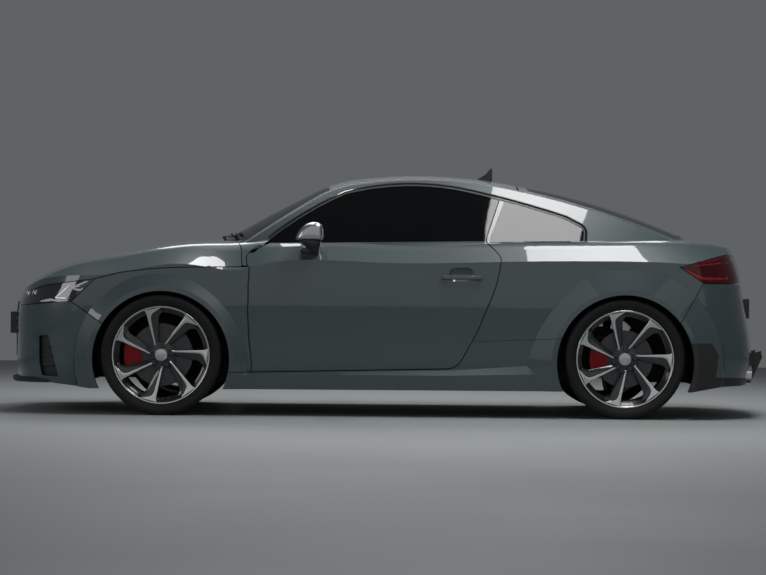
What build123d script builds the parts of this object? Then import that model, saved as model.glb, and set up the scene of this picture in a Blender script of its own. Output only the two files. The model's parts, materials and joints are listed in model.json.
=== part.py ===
from build123d import *

import math
import os

# A two-door fastback coupe: panelled body, glazed cabin, four wheels on knuckles, opening doors, hood and hatch.
#
# Row frame, millimetres: +X rearward, +Y to the car's right, +Z up.
# The origin is on the ground, midway along the car's length and on its centre line.

# ---------------------------------------------------------------- driving sizes
LENGTH = 4191.0
WHEELBASE = 2505.0
FRONT_OVERHANG = 880.0
FRONT_TRACK = 1572.0
REAR_TRACK = 1552.0
HALF_WIDTH = 916.0  # over the wheel arch flares

X_NOSE = -LENGTH / 2
X_TAIL = LENGTH / 2
X_FRONT_AXLE = X_NOSE + FRONT_OVERHANG
X_REAR_AXLE = X_FRONT_AXLE + WHEELBASE

PANEL = 26.0  # outer panel with its inner stiffening
DOOR_DEPTH = 84.0  # outer skin to inner trim
ROOF_DEPTH = 16.0
RAIL_DEPTH = 34.0
SHUT_GAP = 5.0  # gap between neighbouring panels
GLASS = 5.0
GLASS_SINK = 2.5  # glass lies this far below the painted skin
SEAT_CLEARANCE = 0.3  # a piece held in a slot or on a pin

TYRE_RADIUS = 325.0
TYRE_WIDTH = 255.0
RIM_RADIUS = 254.0
RIM_WIDTH = 229.0
Z_AXLE = TYRE_RADIUS
ARCH_RADIUS = 370.0
ARCH_DROP = 24.0  # the arch centre lies this far below the wheel centre
FLARE_RADIUS = {"front": 468.0, "rear": 528.0}
WELL_RADIUS = 388.0
WELL_INNER_Y = 486.0

Z_LOAD_FLOOR = 425.0
FLOOR_DEPTH = 25.0
JACK_PAD_X = (-700.0, 800.0)
JACK_PAD_Y = 770.0
JACK_PAD_Z = 148.0

BIG = 3000.0


# ---------------------------------------------------------------- drawing helpers
def outline(points):
    """Closed polygon from rows of (u, v, corner radius)."""
    face = make_face(Polyline(*[(u, v) for u, v, _ in points], close=True))
    for u, v, radius in points:
        if radius:
            corner = [p for p in face.vertices() if math.hypot(p.X - u, p.Y - v) < 0.01]
            face = fillet(corner, radius)
    return face


def side_prism(face, y_low, y_high):
    """Side-view face (x, z) swept across the car from y_low to y_high."""
    return extrude(Plane.XZ.offset(-y_high) * face, amount=y_high - y_low)


def plan_prism(face, z_low, z_high):
    """Plan-view face (x, y) swept up from z_low to z_high."""
    return extrude(Plane.XY.offset(z_low) * face, amount=z_high - z_low)


def front_prism(face, x_low, x_high):
    """Front-view face (y, z) swept rearward from x_low to x_high."""
    return extrude(Plane.YZ.offset(x_low) * face, amount=x_high - x_low)


def block(x_low, x_high, y_low, y_high, z_low, z_high):
    """Box from its six limits."""
    centre = ((x_low + x_high) / 2, (y_low + y_high) / 2, (z_low + z_high) / 2)
    return Pos(*centre) * Box(x_high - x_low, y_high - y_low, z_high - z_low)


def rod_y(x, z, radius, y_low, y_high):
    """Round bar along Y."""
    bar = Cylinder(radius, y_high - y_low, rotation=(90, 0, 0))
    return Pos(x, (y_low + y_high) / 2, z) * bar


def rod_x(x_low, x_high, y, z, radius):
    """Round bar along X."""
    bar = Cylinder(radius, x_high - x_low, rotation=(0, 90, 0))
    return Pos((x_low + x_high) / 2, y, z) * bar


def mirrored(shape):
    """The same shape on the car's other side."""
    return mirror(shape, about=Plane.XZ)


def both_sides(shape):
    """The shape and its mirror image as one multi-solid node."""
    return Compound(children=[*shape.solids(), *mirrored(shape).solids()])


# ---------------------------------------------------------------- outer form
# Level lines of the lower body. Columns: height, nose x from X_NOSE, tail x from X_TAIL,
# half width amidships, sweep of the nose and of the tail at the sides, front and rear corner radius.
WATERLINES = [
    (60, 50, -100, 822, 150, 130, 330, 260),
    (160, 22, -70, 846, 150, 130, 330, 260),
    (290, 10, -36, 876, 150, 130, 360, 270),
    (430, 10, -42, 887, 150, 130, 380, 280),
    (560, 14, -66, 893, 150, 130, 390, 285),
    (680, 50, -86, 893, 155, 130, 400, 290),
    (800, 105, -106, 888, 165, 135, 400, 290),
    (1010, 215, -224, 868, 170, 140, 400, 290),
]
SIDE_BOW = 28.0
X_WIDEST = 100.0

# Cross-sections of the hood, shoulder and deck surface.
# Columns: x, centre height, shoulder break y and height, height at the body side.
COVER_SECTIONS = [
    (-2260, 500, 640, 455, 400),
    (-2049, 668, 680, 612, 590),
    (-1923, 767, 700, 706, 652),
    (-1809, 820, 710, 768, 703),
    (-1600, 868, 715, 832, 741),
    (-1295, 927, 725, 893, 789),
    (-1000, 956, 745, 928, 800),
    (-700, 966, 785, 946, 808),
    (71, 966, 803, 947, 833),
    (610, 966, 803, 955, 841),
    (1149, 985, 785, 963, 841),
    (1418, 1000, 760, 966, 835),
    (1700, 988, 705, 958, 820),
    (1900, 955, 650, 925, 800),
    (2250, 860, 560, 850, 760),
]
SIDE_Y = 887.0
COVER_EDGE_Y = 1150.0
SHOULDER_RADIUS = 120.0


def level_line(row, inset):
    """One closed level line of the lower body, set in from the skin."""
    z, nose, tail, half, nose_sweep, tail_sweep, front_radius, rear_radius = row
    half, nose, tail = half - inset, X_NOSE + nose + inset, X_TAIL + tail - inset
    front = nose + nose_sweep
    rear = tail - tail_sweep
    edge = half - SIDE_BOW
    corners = [(front, -edge), (rear, -edge), (rear, edge), (front, edge)]
    bulges = [(X_WIDEST, -half), (tail, 0), (X_WIDEST, half), (nose, 0)]
    arcs = [ThreePointArc(corners[i], bulges[i], corners[(i + 1) % 4]) for i in range(4)]
    face = make_face(arcs)
    by_x = face.vertices().sort_by(Axis.X)
    face = fillet(by_x[:2], front_radius - inset)
    face = fillet(face.vertices().sort_by(Axis.X)[-2:], rear_radius - inset)
    return Plane.XY.offset(z) * face


def lower_sides(inset):
    """Sides, nose and tail of the lower body."""
    return loft([level_line(row, inset).face() for row in WATERLINES])


def cover_section(x, centre, break_y, break_z, side_z):
    """One cross-section under the hood, shoulder and deck surface."""
    slope = (break_z - side_z) / (SIDE_Y - break_y)
    edge_z = break_z - slope * (COVER_EDGE_Y - break_y)
    low = -400
    crown = ThreePointArc((-break_y, break_z), (0, centre), (break_y, break_z))
    rest = Polyline((break_y, break_z), (COVER_EDGE_Y, edge_z), (COVER_EDGE_Y, low),
                    (-COVER_EDGE_Y, low), (-COVER_EDGE_Y, edge_z), (-break_y, break_z))
    face = make_face([crown, rest])
    breaks = [v for v in face.vertices() if abs(abs(v.X) - break_y) < 0.01]
    return Plane.YZ.offset(x) * fillet(breaks, SHOULDER_RADIUS)


def lower_cover():
    """Everything below the hood, shoulder and deck surface."""
    return loft([cover_section(*row).face() for row in COVER_SECTIONS])


# Roof line from the windscreen base to the deck. Columns: x, height on the centre line,
# fall of the surface at ROOF_EDGE_Y. Every second row is the middle of an arc.
ROOF_LINE = [
    (-1050, 884, 165),
    (-660, 1111, 160),
    (-300, 1294, 125),
    (150, 1336, 112),
    (700, 1291, 125),
    (1219, 1171, 150),
    (1760, 962, 160),
]
ROOF_EDGE_Y = 900.0
HEADER_RADIUS = 700.0
ROOF_FLOOR = 300.0


def roof_section(y):
    """Side-view section of the roof surface at a distance from the centre line."""
    share = (y / ROOF_EDGE_Y) ** 2
    line = [(x, z - share * fall) for x, z, fall in ROOF_LINE]
    arcs = [ThreePointArc(*line[i:i + 3]) for i in (0, 2, 4)]
    rest = Polyline(line[-1], (line[-1][0], ROOF_FLOOR), (line[0][0], ROOF_FLOOR), line[0])
    face = make_face([*arcs, rest])
    header = [v for v in face.vertices() if abs(v.X - line[2][0]) < 0.01]
    return Plane.XZ.offset(-y) * fillet(header, HEADER_RADIUS)


def roof_cover():
    """Everything below the windscreen, roof and rear window surface."""
    return loft([roof_section(y).face() for y in (-ROOF_EDGE_Y, 0, ROOF_EDGE_Y)])


# Level lines of the side windows. Columns: height, half width amidships.
GLASS_LINES = [(780, 884), (950, 800), (1100, 708), (1256, 592), (1420, 440)]
GLASS_FRONT_X, GLASS_FRONT_IN = -1250.0, 150.0
GLASS_REAR_X, GLASS_REAR_IN = 2000.0, 250.0
X_GLASS_WIDEST = 200.0


def glass_level(z, half):
    """One level line of the side windows."""
    front, rear = half - GLASS_FRONT_IN, half - GLASS_REAR_IN
    right = ThreePointArc((GLASS_REAR_X, rear), (X_GLASS_WIDEST, half), (GLASS_FRONT_X, front))
    left = ThreePointArc((GLASS_FRONT_X, -front), (X_GLASS_WIDEST, -half), (GLASS_REAR_X, -rear))
    ends = [Line((GLASS_REAR_X, -rear), (GLASS_REAR_X, rear)),
            Line((GLASS_FRONT_X, front), (GLASS_FRONT_X, -front))]
    return Plane.XY.offset(z) * make_face([right, left, *ends])


def window_sides(inset):
    """The tumblehome of the side windows, set in from the skin."""
    return loft([glass_level(z, half - inset).face() for z, half in GLASS_LINES])


LOWER_COVER = lower_cover()
ROOF_COVER = roof_cover()


def lower_form(inset):
    """Lower body, set in from the skin all over."""
    return lower_sides(inset) & (Pos(0, 0, -inset) * LOWER_COVER)


def upper_form(side_inset, roof_inset):
    """Cabin above the belt, set in from the skin."""
    return window_sides(side_inset) & (Pos(0, 0, -roof_inset) * ROOF_COVER)


def flare(x_axle, radius):
    """Bulge of the body side around one left wheel: a shallow cone about the axle."""
    depth = 150.0
    foot_y = 874.0
    rim_land = 26.0
    profile = make_face(Polyline(
        (0, foot_y - depth), (radius + 60, foot_y - depth), (radius, foot_y),
        (ARCH_RADIUS + rim_land, HALF_WIDTH), (0, HALF_WIDTH), close=True))
    cone = revolve(Plane.XY * profile, axis=Axis.Y)
    cone = mirror(cone, about=Plane.XZ)
    return Pos(x_axle, 0, Z_AXLE - ARCH_DROP) * cone


# Cross-sections of the left side skirt. Columns: x, outer y, crease height, height where it meets the side.
SKIRT_SECTIONS = [
    (-880, 862, 216, 222),
    (-780, 884, 224, 236),
    (345, 891, 228, 266),
    (772, 894, 238, 303),
    (920, 858, 236, 262),
]


def skirt():
    """Left side skirt, standing proud of the body side below the door."""
    sections = []
    for x, outer, crease, top in SKIRT_SECTIONS:
        face = polygon([(-800, 100), (14 - outer, 100), (-outer, crease), (-862, top), (-800, top)])
        sections.append((Plane.YZ.offset(x) * face).face())
    return loft(sections, ruled=True)


# ---------------------------------------------------------------- shut lines
# Side-view lines (x, z). Panels on the two sides of a line each stop half a shut gap short of it.
HOOD_SIDE_LINE = [(-2200, 636), (-1961, 662), (-1851, 696), (-1576, 733), (-1438, 769), (-1277, 790),
                  (-1115, 799), (-600, 808)]
LAMP_LOW_LINE = [(-2200, 570), (-1972, 587), (-1851, 601), (-1706, 608)]
LAMP_REAR_TOP = HOOD_SIDE_LINE[3]
LAMP_INNER_Y = 560.0
BUMPER_ARCH_POINT = (-1500, 470)
SILL_LINE = [(-900, 232), (345, 262), (455, 411), (960, 434)]
BODY_UNDERSIDE = [(-2200, 186), (-1950, 186), (-1816, 168), (-1600, 142), (1645, 150), (1800, 178),
                  (2010, 184), (2110, 300)]
TAIL_SEAM = [(1560, 480), (1711, 738)]
TAIL_LAMP = [(1711, 738, 0), (1579, 825, 12), (1827, 893, 0), (2200, 893, 0), (2200, 738, 0)]
TAIL_LAMP_INNER_Y = 425.0
Z_TAIL_SHUT = 738.0

# Plan-view lines: (x at the side, y at the side, x on the centre line).
HOOD_REAR_ARC = (-735, 900, -985)
WINDSCREEN_BASE_ARC = (-765, 700, -940)
WINDSCREEN_HEAD_ARC = (-318, 520, -350)
COWL_HALF = 690.0
ROOF_REAR_X = 716.0
ROOF_REAR_HALF = 540.0
HATCH_GAP = 8.0
HATCH_LIP = (6.0, 14.0)
# Hatch outline in plan behind the roof. Columns: x, half width.
HATCH_SIDE = [(1219, 585), (1600, 640), (1860, 640)]
QUARTER_SPLIT_X = 1000.0

# Window opening in side view: three arcs along the top, then the belt.
WINDOW_ARCS = [[(-672, 927), (-440, 1098), (-229, 1211)],
               [(-229, 1211), (90, 1259), (401, 1236)],
               [(401, 1236), (700, 1165), (975, 1083)]]
WINDOW_TAIL = [(1075, 1030), (1068, 962)]
BELT_LINE = [(532, 955), (-200, 943)]
DOOR_GLASS_REAR = [(529, 900), (540, 985), (625, 1230)]
QUARTER_GLASS_FRONT = [(548, 900), (566, 985), (662, 1230)]
# Front-view openings in the front bumper (y, z, corner radius).
GRILLE = [(-300, 300, 20), (300, 300, 20), (430, 460, 30), (360, 610, 30), (-360, 610, 30), (-430, 460, 30)]
# Side-view outlines (x, z, corner radius): corner intake, black lower part of the tail, one diffuser fin.
CORNER_INTAKE = [(-1886, 423, 8), (-1832, 424, 8), (-1774, 200, 8), (-1868, 206, 8), (-1884, 280, 0)]
TAIL_TRIM = [(1600, 414, 0), (1758, 415, 20), (1796, 351, 0), (1780, 232, 0), (2200, 214, 0), (2200, 100, 0),
             (1600, 100, 0)]
DIFFUSER_FIN = [(1980, 190, 0), (2030, 190, 0), (2095, 330, 0), (2088, 368, 0), (2040, 352, 0), (1980, 352, 0)]
DIFFUSER_FIN_Y = (-390, -140, 140, 390)
# Front-view outline of the diffuser (y, z, corner radius).
DIFFUSER = [(-520, 100, 0), (520, 100, 0), (520, 240, 30), (450, 368, 30), (-450, 368, 30), (-520, 240, 30)]
LIP_HEIGHT, LIP_REACH = 18.0, 22.0
GLASS_TUCK = 26.0  # how far the side glass runs down into its slot
X_GLASS_TIP = -654.0  # the door glass starts here
# Rear window in plan (x, y, corner radius).
REAR_WINDOW = [(776, 490, 40), (1219, 530, 0), (1640, 560, 60), (1640, -560, 60), (1219, -530, 0), (776, -490, 40)]
Z_RAIL_FOOT = 957.0  # seam between roof rail and quarter panel, under the quarter window
LAMP_DEPTH = 60.0
LAMP_FLANGE = 6.0
X_LIP_REAR = -1830.0
EXHAUST_Y, Z_EXHAUST, EXHAUST_RADIUS = 600.0, 248.0, 42.0
X_EXHAUST_END = 2006.0
X_FRONT_PLATE = X_NOSE - 16
X_REAR_PLATE = 2038.0
SEAT_Y = 370.0
# Side-view outlines of the left mirror (x, z, corner radius).
MIRROR_CAP = [(-495, 950, 12), (-480, 1022, 40), (-420, 1051, 30), (-352, 1046, 16), (-344, 950, 6)]
MIRROR_SHELL = [(-482, 952, 0), (-346, 952, 0), (-352, 915, 20), (-362, 873, 8), (-392, 876, 8), (-450, 905, 20),
                (-480, 925, 10)]
# Door handle bar (x low, x high, z low, z high) and the long bowl behind it (x low, x high, y, z).
HANDLE_BOX = (296, 514, 745, 768)
HANDLE_BOWL = (372, 432, -934, 775)
HANDLE_BOWL_RADIUS = 60.0


def arc_points(line):
    """Both ends and the middle of a plan-view arc symmetrical about the centre line."""
    side_x, side_y, centre_x = line
    return (side_x, -side_y), (centre_x, 0), (side_x, side_y)


def shrunk(face, gap=SHUT_GAP):
    """Face drawn in by half a shut gap all round."""
    return offset(face, amount=-gap / 2, kind=Kind.ARC)


def grown(face, gap=SHUT_GAP):
    """Face let out by half a shut gap all round."""
    return offset(face, amount=gap / 2, kind=Kind.ARC)


def polygon(points):
    """Closed polygon through (u, v) points."""
    return make_face(Polyline(*points, close=True))


def window_face(tuck):
    """Side-view outline of the whole side window opening, carried below the belt by the tuck."""
    arcs = [ThreePointArc(*rows) for rows in WINDOW_ARCS]
    start, end = WINDOW_ARCS[0][0], WINDOW_ARCS[-1][-1]
    low = [(x, z - tuck) for x, z in [WINDOW_TAIL[-1], *BELT_LINE, start]]
    face = make_face([*arcs, Polyline(end, *WINDOW_TAIL, *(low if tuck else low[1:-1]), start)])
    tip = [v for v in face.vertices() if math.hypot(v.X - WINDOW_TAIL[0][0], v.Y - WINDOW_TAIL[0][1]) < 0.01]
    return fillet(tip, 40)


def pair(nodes, name, shape):
    """File a left-side piece and its mirror image as two nodes."""
    nodes[f"{name}_left"] = shape
    nodes[f"{name}_right"] = mirrored(shape)


# ---------------------------------------------------------------- doors
X_DOOR_PIN = -700.0
Y_DOOR_PIN = 822.0
DOOR_PIN_RADIUS = 6.0
DOOR_HINGE_HEIGHTS = (370.0, 690.0)
DOOR_BARREL_RADIUS = 13.0
DOOR_BARREL_HEIGHT = 36.0
HINGE_POCKET_RADIUS = 40.0
# Front edge of the door as a surface turned about the hinge pin. Columns: height, radius.
DOOR_NOSE = [(236, 47), (407, 70), (569, 81.5), (704, 79), (822, 70), (868, 58), (906, 24)]
DOOR_SIDE = [(-800, 238, 0), (380, 268, 90), (486, 460, 600), (590, 715, 500), (618, 868, 60),
             (532, 955, 0), (-200, 943, 0), (-640, 934, 0), (-694, 906, 0), (-722, 882, 0), (-800, 882, 0)]
BELT_INSET = 40.0


def door_nose(gap):
    """Solid turned about the left door's hinge pin that carries the door's front edge."""
    low, high = DOOR_NOSE[0][0] - gap - 5, DOOR_NOSE[-1][0] + gap + 100
    rows = [(0, low), (DOOR_NOSE[0][1] + gap, low)]
    rows += [(r + gap, z) for z, r in DOOR_NOSE]
    rows += [(DOOR_NOSE[-1][1] + gap, high), (0, high)]
    return Pos(X_DOOR_PIN, -Y_DOOR_PIN, 0) * revolve(Plane.XZ * polygon(rows), axis=Axis.Z)


def door_space(gap):
    """The space one left door fills, let out by a gap all round, out to beyond the skin."""
    face = outline(DOOR_SIDE)
    if gap:
        face = offset(face, amount=gap, kind=Kind.ARC)
    behind = block(X_DOOR_PIN, BIG, -BIG, -500, DOOR_NOSE[0][0] - gap - 5, 1200)
    return side_prism(face, -BIG, -500) & (door_nose(gap) + behind)


def door_inner():
    """The cabin side of the doors."""
    below = lower_sides(DOOR_DEPTH) & block(-BIG, BIG, -BIG, BIG, 0, 872)
    return below + window_sides(BELT_INSET)


# ---------------------------------------------------------------- wheels
SPINDLE_RADIUS = 32.0
PIN_CLEARANCE = 0.1
KING_PIN_RADIUS = 8.0
KING_PIN_REACH = 150.0  # height of the arms above and below the wheel centre
# Columns: x of the axle, half track, disc radius.
WHEEL_STATIONS = {
    "front": (X_FRONT_AXLE, FRONT_TRACK / 2, 169.0),
    "rear": (X_REAR_AXLE, REAR_TRACK / 2, 155.0),
}
SPOKES = 7
TOWER_OUTER_Y = 470.0
FIRST_SPOKE = -13.8  # degrees clockwise from straight up, seen from outside on the left
# Wheel-face outlines of one spoke pointing up (x, z): the raised blade and its lower flank.
SPOKE_BLADE = [(-24, 40), (-10, 40), (-6, 208), (12, 231), (64, 247), (50, 251), (-32, 251), (-26, 235)]
SPOKE_FLANK = [(-14, 40), (10, 50), (32, 200), (70, 236), (20, 240), (-12, 225)]


def tyre():
    """Tyre about the Y axis, centred on the origin."""
    half = TYRE_WIDTH / 2
    seat = RIM_WIDTH / 2 - 9 - SEAT_CLEARANCE
    face = outline([(258, -seat, 0), (268, -seat, 0), (292, -half, 20), (TYRE_RADIUS, -half + 10, 24),
                    (TYRE_RADIUS, half - 10, 24), (292, half, 20), (268, seat, 0), (258, seat, 0)])
    return revolve(Plane.XY * face, axis=Axis.Y)


def rim():
    """Seven-spoke rim about the Y axis; its outer face looks to -Y."""
    half = RIM_WIDTH / 2
    ring = polygon([(257.6, half - 9), (266, half - 9), (266, half), (252, half), (246, half - 20),
                    (226, half - 60), (226, 60 - half), (246, 26 - half), (256, -half),
                    (266, -half), (266, 9 - half), (257.6, 9 - half), (250, 32 - half),
                    (236, 64 - half), (236, half - 64), (250, half - 30)])
    whole = revolve(Plane.XY * ring, axis=Axis.Y) + rod_y(0, 0, 70, -96, -62)
    arm = side_prism(polygon(SPOKE_BLADE), -106, -76) + side_prism(polygon(SPOKE_FLANK), -92, -78)
    spokes = [Rot(0, FIRST_SPOKE + 360.0 / SPOKES * i, 0) * arm for i in range(SPOKES)]
    whole = whole + spokes
    return whole - rod_y(0, 0, SPINDLE_RADIUS + PIN_CLEARANCE, -88, 0)


def disc(radius):
    """Brake disc and its hat about the Y axis, bolted behind the hub."""
    plate = rod_y(0, 0, radius, -50, -26)
    hat = rod_y(0, 0, 84, -62, -26)
    return plate + hat - rod_y(0, 0, SPINDLE_RADIUS + PIN_CLEARANCE, -100, 0)


def caliper(radius, span):
    """Caliper over the disc's front edge."""
    body = rod_y(0, 0, radius + 34, -66, -8) - rod_y(0, 0, radius - 62, -100, 20)
    body = body - rod_y(0, 0, radius + 6, -54, -21)
    rise = 400 * math.tan(math.radians(span))
    return body & side_prism(polygon([(0, 0), (-400, rise), (-400, -rise)]), -100, 20)


def front_knuckle():
    """Upright of a front wheel with its spindle, about the wheel centre, outer side to -Y."""
    lug_z = KING_PIN_REACH - 12
    whole = block(-22, 22, -14, 24, -lug_z, lug_z) + rod_y(0, 0, 60, -22, 30)
    whole = whole + rod_y(0, 0, SPINDLE_RADIUS, -86, 0) + block(-150, -20, -8, 16, -40, 40)
    for side in (-1, 1):
        whole = whole - Pos(0, 0, side * lug_z) * Cylinder(KING_PIN_RADIUS + PIN_CLEARANCE, 26)
    return whole


def rear_knuckle():
    """Carrier of a rear wheel with its spindle, about the wheel centre, outer side to -Y."""
    whole = rod_y(0, 0, 60, -22, 60) + rod_y(0, 0, SPINDLE_RADIUS, -86, 0)
    return whole + block(-140, -20, -8, 16, -40, 40) + block(-30, 30, 20, 200, -60, 60)


def front_arm(z_face, z_far):
    """One arm of the left front wheel with its king pin, from the subframe out to the wheel centre."""
    x, half_track, _ = WHEEL_STATIONS["front"]
    low, high = min(z_face, z_far), max(z_face, z_far)
    reach = z_face - math.copysign(13, z_face - Z_AXLE)
    pin = Pos(x, -half_track, (reach + z_far) / 2) * Cylinder(KING_PIN_RADIUS, abs(z_far - reach))
    return block(x - 18, x + 18, -half_track - 12, -TOWER_OUTER_Y, low, high) + pin


def wheels_and_brakes(nodes):
    """Tyres, rims, discs, calipers and knuckles of all four wheels."""
    one_tyre, one_rim = tyre(), rim()
    for end, (x, half_track, radius) in WHEEL_STATIONS.items():
        one_disc = disc(radius)
        for side, y, spin in (("left", -half_track, 0), ("right", half_track, 180)):
            place = Pos(x, y, Z_AXLE) * Rot(0, 0, spin)
            nodes[f"{end}_tyre_{side}"] = Pos(x, y, Z_AXLE) * one_tyre
            nodes[f"{end}_rim_{side}"] = place * one_rim
            nodes[f"{end}_disc_{side}"] = place * one_disc
    x, half_track, radius = WHEEL_STATIONS["front"]
    place = Pos(x, -half_track, Z_AXLE)
    pair(nodes, "front_knuckle", place * front_knuckle())
    pair(nodes, "front_caliper", place * caliper(radius, 26))
    x, half_track, radius = WHEEL_STATIONS["rear"]
    place = Pos(x, -half_track, Z_AXLE)
    nodes["rear_knuckles"] = both_sides(place * rear_knuckle())
    nodes["rear_calipers"] = both_sides(place * caliper(radius, 26))


def front_subframe():
    """Cross member, towers and the arms that hold the front king pins."""
    x = WHEEL_STATIONS["front"][0]
    near, far = KING_PIN_REACH - 9, KING_PIN_REACH + 5
    cross = block(x - 150, x + 150, -TOWER_OUTER_Y, TOWER_OUTER_Y, Z_AXLE - far - 10, Z_AXLE - near + 16)
    tower = block(x - 45, x + 45, -TOWER_OUTER_Y, 30 - TOWER_OUTER_Y, Z_AXLE - far - 10, Z_AXLE + far + 40)
    arms = front_arm(Z_AXLE + near, Z_AXLE + far) + front_arm(Z_AXLE - near, Z_AXLE - far)
    rail = block(x + 100, X_BULKHEAD, -380, -300, Z_AXLE - far - 5, Z_AXLE - near + 11)
    half = tower + arms + rail
    return cross + half + mirrored(half)


def rear_axle_beam():
    """Beam between the rear wheel carriers, hung from the load floor."""
    x, half_track, _ = WHEEL_STATIONS["rear"]
    beam = block(x - 60, x + 60, 200 - half_track, half_track - 200, Z_AXLE - 60, Z_AXLE + 60)
    leg = block(x - 50, x + 50, -440, -380, Z_AXLE, Z_LOAD_FLOOR - FLOOR_DEPTH)
    return beam + leg + mirrored(leg)


def arch_liners():
    """Thin liners of the four wheel arches."""
    liners = []
    for x, _, _ in WHEEL_STATIONS.values():
        z = Z_AXLE - ARCH_DROP
        outer = WELL_RADIUS - SEAT_CLEARANCE
        ring = rod_y(x, z, outer, -877.5, -WELL_INNER_Y) - rod_y(x, z, outer - 4, -BIG, -WELL_INNER_Y - 3)
        ring = ring - block(x - 150, x + 150, -BIG, 0, 0, Z_AXLE + 200) - block(x - BIG, x + BIG, -BIG, 0, -BIG, 190)
        ring = ring & lower_form(2)
        liners += [*ring.solids(), *mirrored(ring).solids()]
    return Compound(children=liners)


# ---------------------------------------------------------------- hood and hatch hinges
X_HOOD_PIN, Z_HOOD_PIN = -720.0, 888.0
HOOD_ARM_Y = 680.0
HOOD_PIN_RADIUS = 6.0
HOOD_EYE_RADIUS = 11.0
X_HOOD_ARM_FRONT = -905.0
HOOD_LEAN = 0.35  # the face between hood and cowl leans this far rearward for each mm of height
Z_HOOD_LEAN = 900.0  # height at which that face stands on the hood's rear arc
X_HATCH_PIN, Z_HATCH_PIN = 668.0, 1240.0
HATCH_ARM_Y = 404.0
HATCH_PIN_RADIUS = 5.0
HATCH_EYE_RADIUS = 9.0
ARM_WIDTH = 8.0
EAR_DEPTH = 10.0
EAR_GAP = 1.0
X_BULKHEAD = -822.0
Z_BULKHEAD = 800.0


def hinge_arm(profile, x, z, y, pin_radius, eye_radius):
    """Arm of a lid: a side-view profile with an eye bored for the pin."""
    arm = side_prism(polygon(profile), y - ARM_WIDTH / 2, y + ARM_WIDTH / 2)
    arm = arm + rod_y(x, z, eye_radius, y - ARM_WIDTH, y + ARM_WIDTH)
    return arm - rod_y(x, z, pin_radius + PIN_CLEARANCE, y - 20, y + 20)


def hinge_bracket(foot, x, z, y, pin_radius):
    """Two ears and the pin they hold; foot is a side-view polygon of one ear."""
    inner, outer = ARM_WIDTH + EAR_GAP, ARM_WIDTH + EAR_GAP + EAR_DEPTH
    ears = side_prism(polygon(foot), y - outer, y - inner) + side_prism(polygon(foot), y + inner, y + outer)
    return ears + rod_y(x, z, pin_radius, y - outer, y + outer)


def body_hinges():
    """Ears and pins on the body for the doors, the hood and the hatch."""
    hinges = []
    half = DOOR_BARREL_HEIGHT / 2
    ear = block(X_DOOR_PIN - 10, X_DOOR_PIN + 10, -Y_DOOR_PIN - 10, -732, half + 1, half + 13)
    ears = ear + mirror(ear, about=Plane.XY)
    ears = ears + Pos(X_DOOR_PIN, -Y_DOOR_PIN, 0) * Cylinder(DOOR_PIN_RADIUS, 2 * half + 26)
    for z in DOOR_HINGE_HEIGHTS:
        one = Pos(0, 0, z) * ears
        hinges += [*one.solids(), *mirrored(one).solids()]
    x, z = X_HOOD_PIN, Z_HOOD_PIN
    foot = [(x - 16, Z_BULKHEAD), (x + 16, Z_BULKHEAD), (x + 10, z + 9), (x - 10, z + 9)]
    hinges += both_sides(hinge_bracket(foot, x, z, -HOOD_ARM_Y, HOOD_PIN_RADIUS)).solids()
    x, z = X_HATCH_PIN, Z_HATCH_PIN
    foot = [(x - 12, 1300), (x + 12, 1300), (x + 8, z - 8), (x - 8, z - 8)]
    bracket = hinge_bracket(foot, x, z, -HATCH_ARM_Y, HATCH_PIN_RADIUS)
    hinges += both_sides(bracket & (Pos(0, 0, -ROOF_DEPTH) * ROOF_COVER)).solids()
    return Compound(children=hinges)


# ---------------------------------------------------------------- plan regions
def hood_space(shift):
    """Region ahead of the hood's rear arc, with a face that leans with the hood's swing."""
    a, b, c = arc_points(HOOD_REAR_ARC)
    face = make_face([ThreePointArc(a, b, c), Polyline(c, (-2300, c[1]), (-2300, a[1]), a)])
    lean = Vector(HOOD_LEAN, 0, 1)
    solid = extrude(Plane.XY * face, amount=lean.length * 1200, dir=lean)
    return Pos(shift - HOOD_LEAN * Z_HOOD_LEAN, 0, 0) * solid


def screen_plan():
    """Plan-view region of the windscreen."""
    a, b, c = arc_points(WINDSCREEN_BASE_ARC)
    d, e, f = arc_points(WINDSCREEN_HEAD_ARC)
    return make_face([ThreePointArc(a, b, c), Line(c, f), ThreePointArc(f, e, d), Line(d, a)])


def roof_plan():
    """Plan-view region of the roof panel."""
    a, b, c = arc_points(WINDSCREEN_HEAD_ARC)
    rest = Polyline(c, (ROOF_REAR_X, ROOF_REAR_HALF), (ROOF_REAR_X, -ROOF_REAR_HALF), a)
    return make_face([ThreePointArc(a, b, c), rest])


def hatch_plan():
    """Plan-view region of the hatch and its glass."""
    points = [(ROOF_REAR_X, ROOF_REAR_HALF), *HATCH_SIDE, (2200, HATCH_SIDE[-1][1])]
    return polygon(points + [(x, -y) for x, y in reversed(points)])


# ---------------------------------------------------------------- body panels
def body_skin():
    """Whole outer form of the body, solid."""
    skin = lower_form(0) + upper_form(0, 0)
    flares = flare(X_FRONT_AXLE, FLARE_RADIUS["front"]) + flare(X_REAR_AXLE, FLARE_RADIUS["rear"])
    left = (flares & block(-BIG, BIG, -BIG, -600, 60, 806)) + skirt()
    under = polygon(BODY_UNDERSIDE + [(2200, 1600), (-2200, 1600)])
    return (skin + left + mirrored(left)) & side_prism(under, -BIG, BIG)


def body_shell(skin):
    """The skin as panels of their real depth, opened at the wheel arches."""
    shell = skin - (lower_form(PANEL) + upper_form(RAIL_DEPTH, ROOF_DEPTH))
    for x, _, _ in WHEEL_STATIONS.values():
        z = Z_AXLE - ARCH_DROP
        well = rod_y(x, z, ARCH_RADIUS, -BIG, -WELL_INNER_Y) + rod_y(x, z, WELL_RADIUS, -878, -WELL_INNER_Y)
        shell = shell - well - mirrored(well)
    return shell


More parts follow.
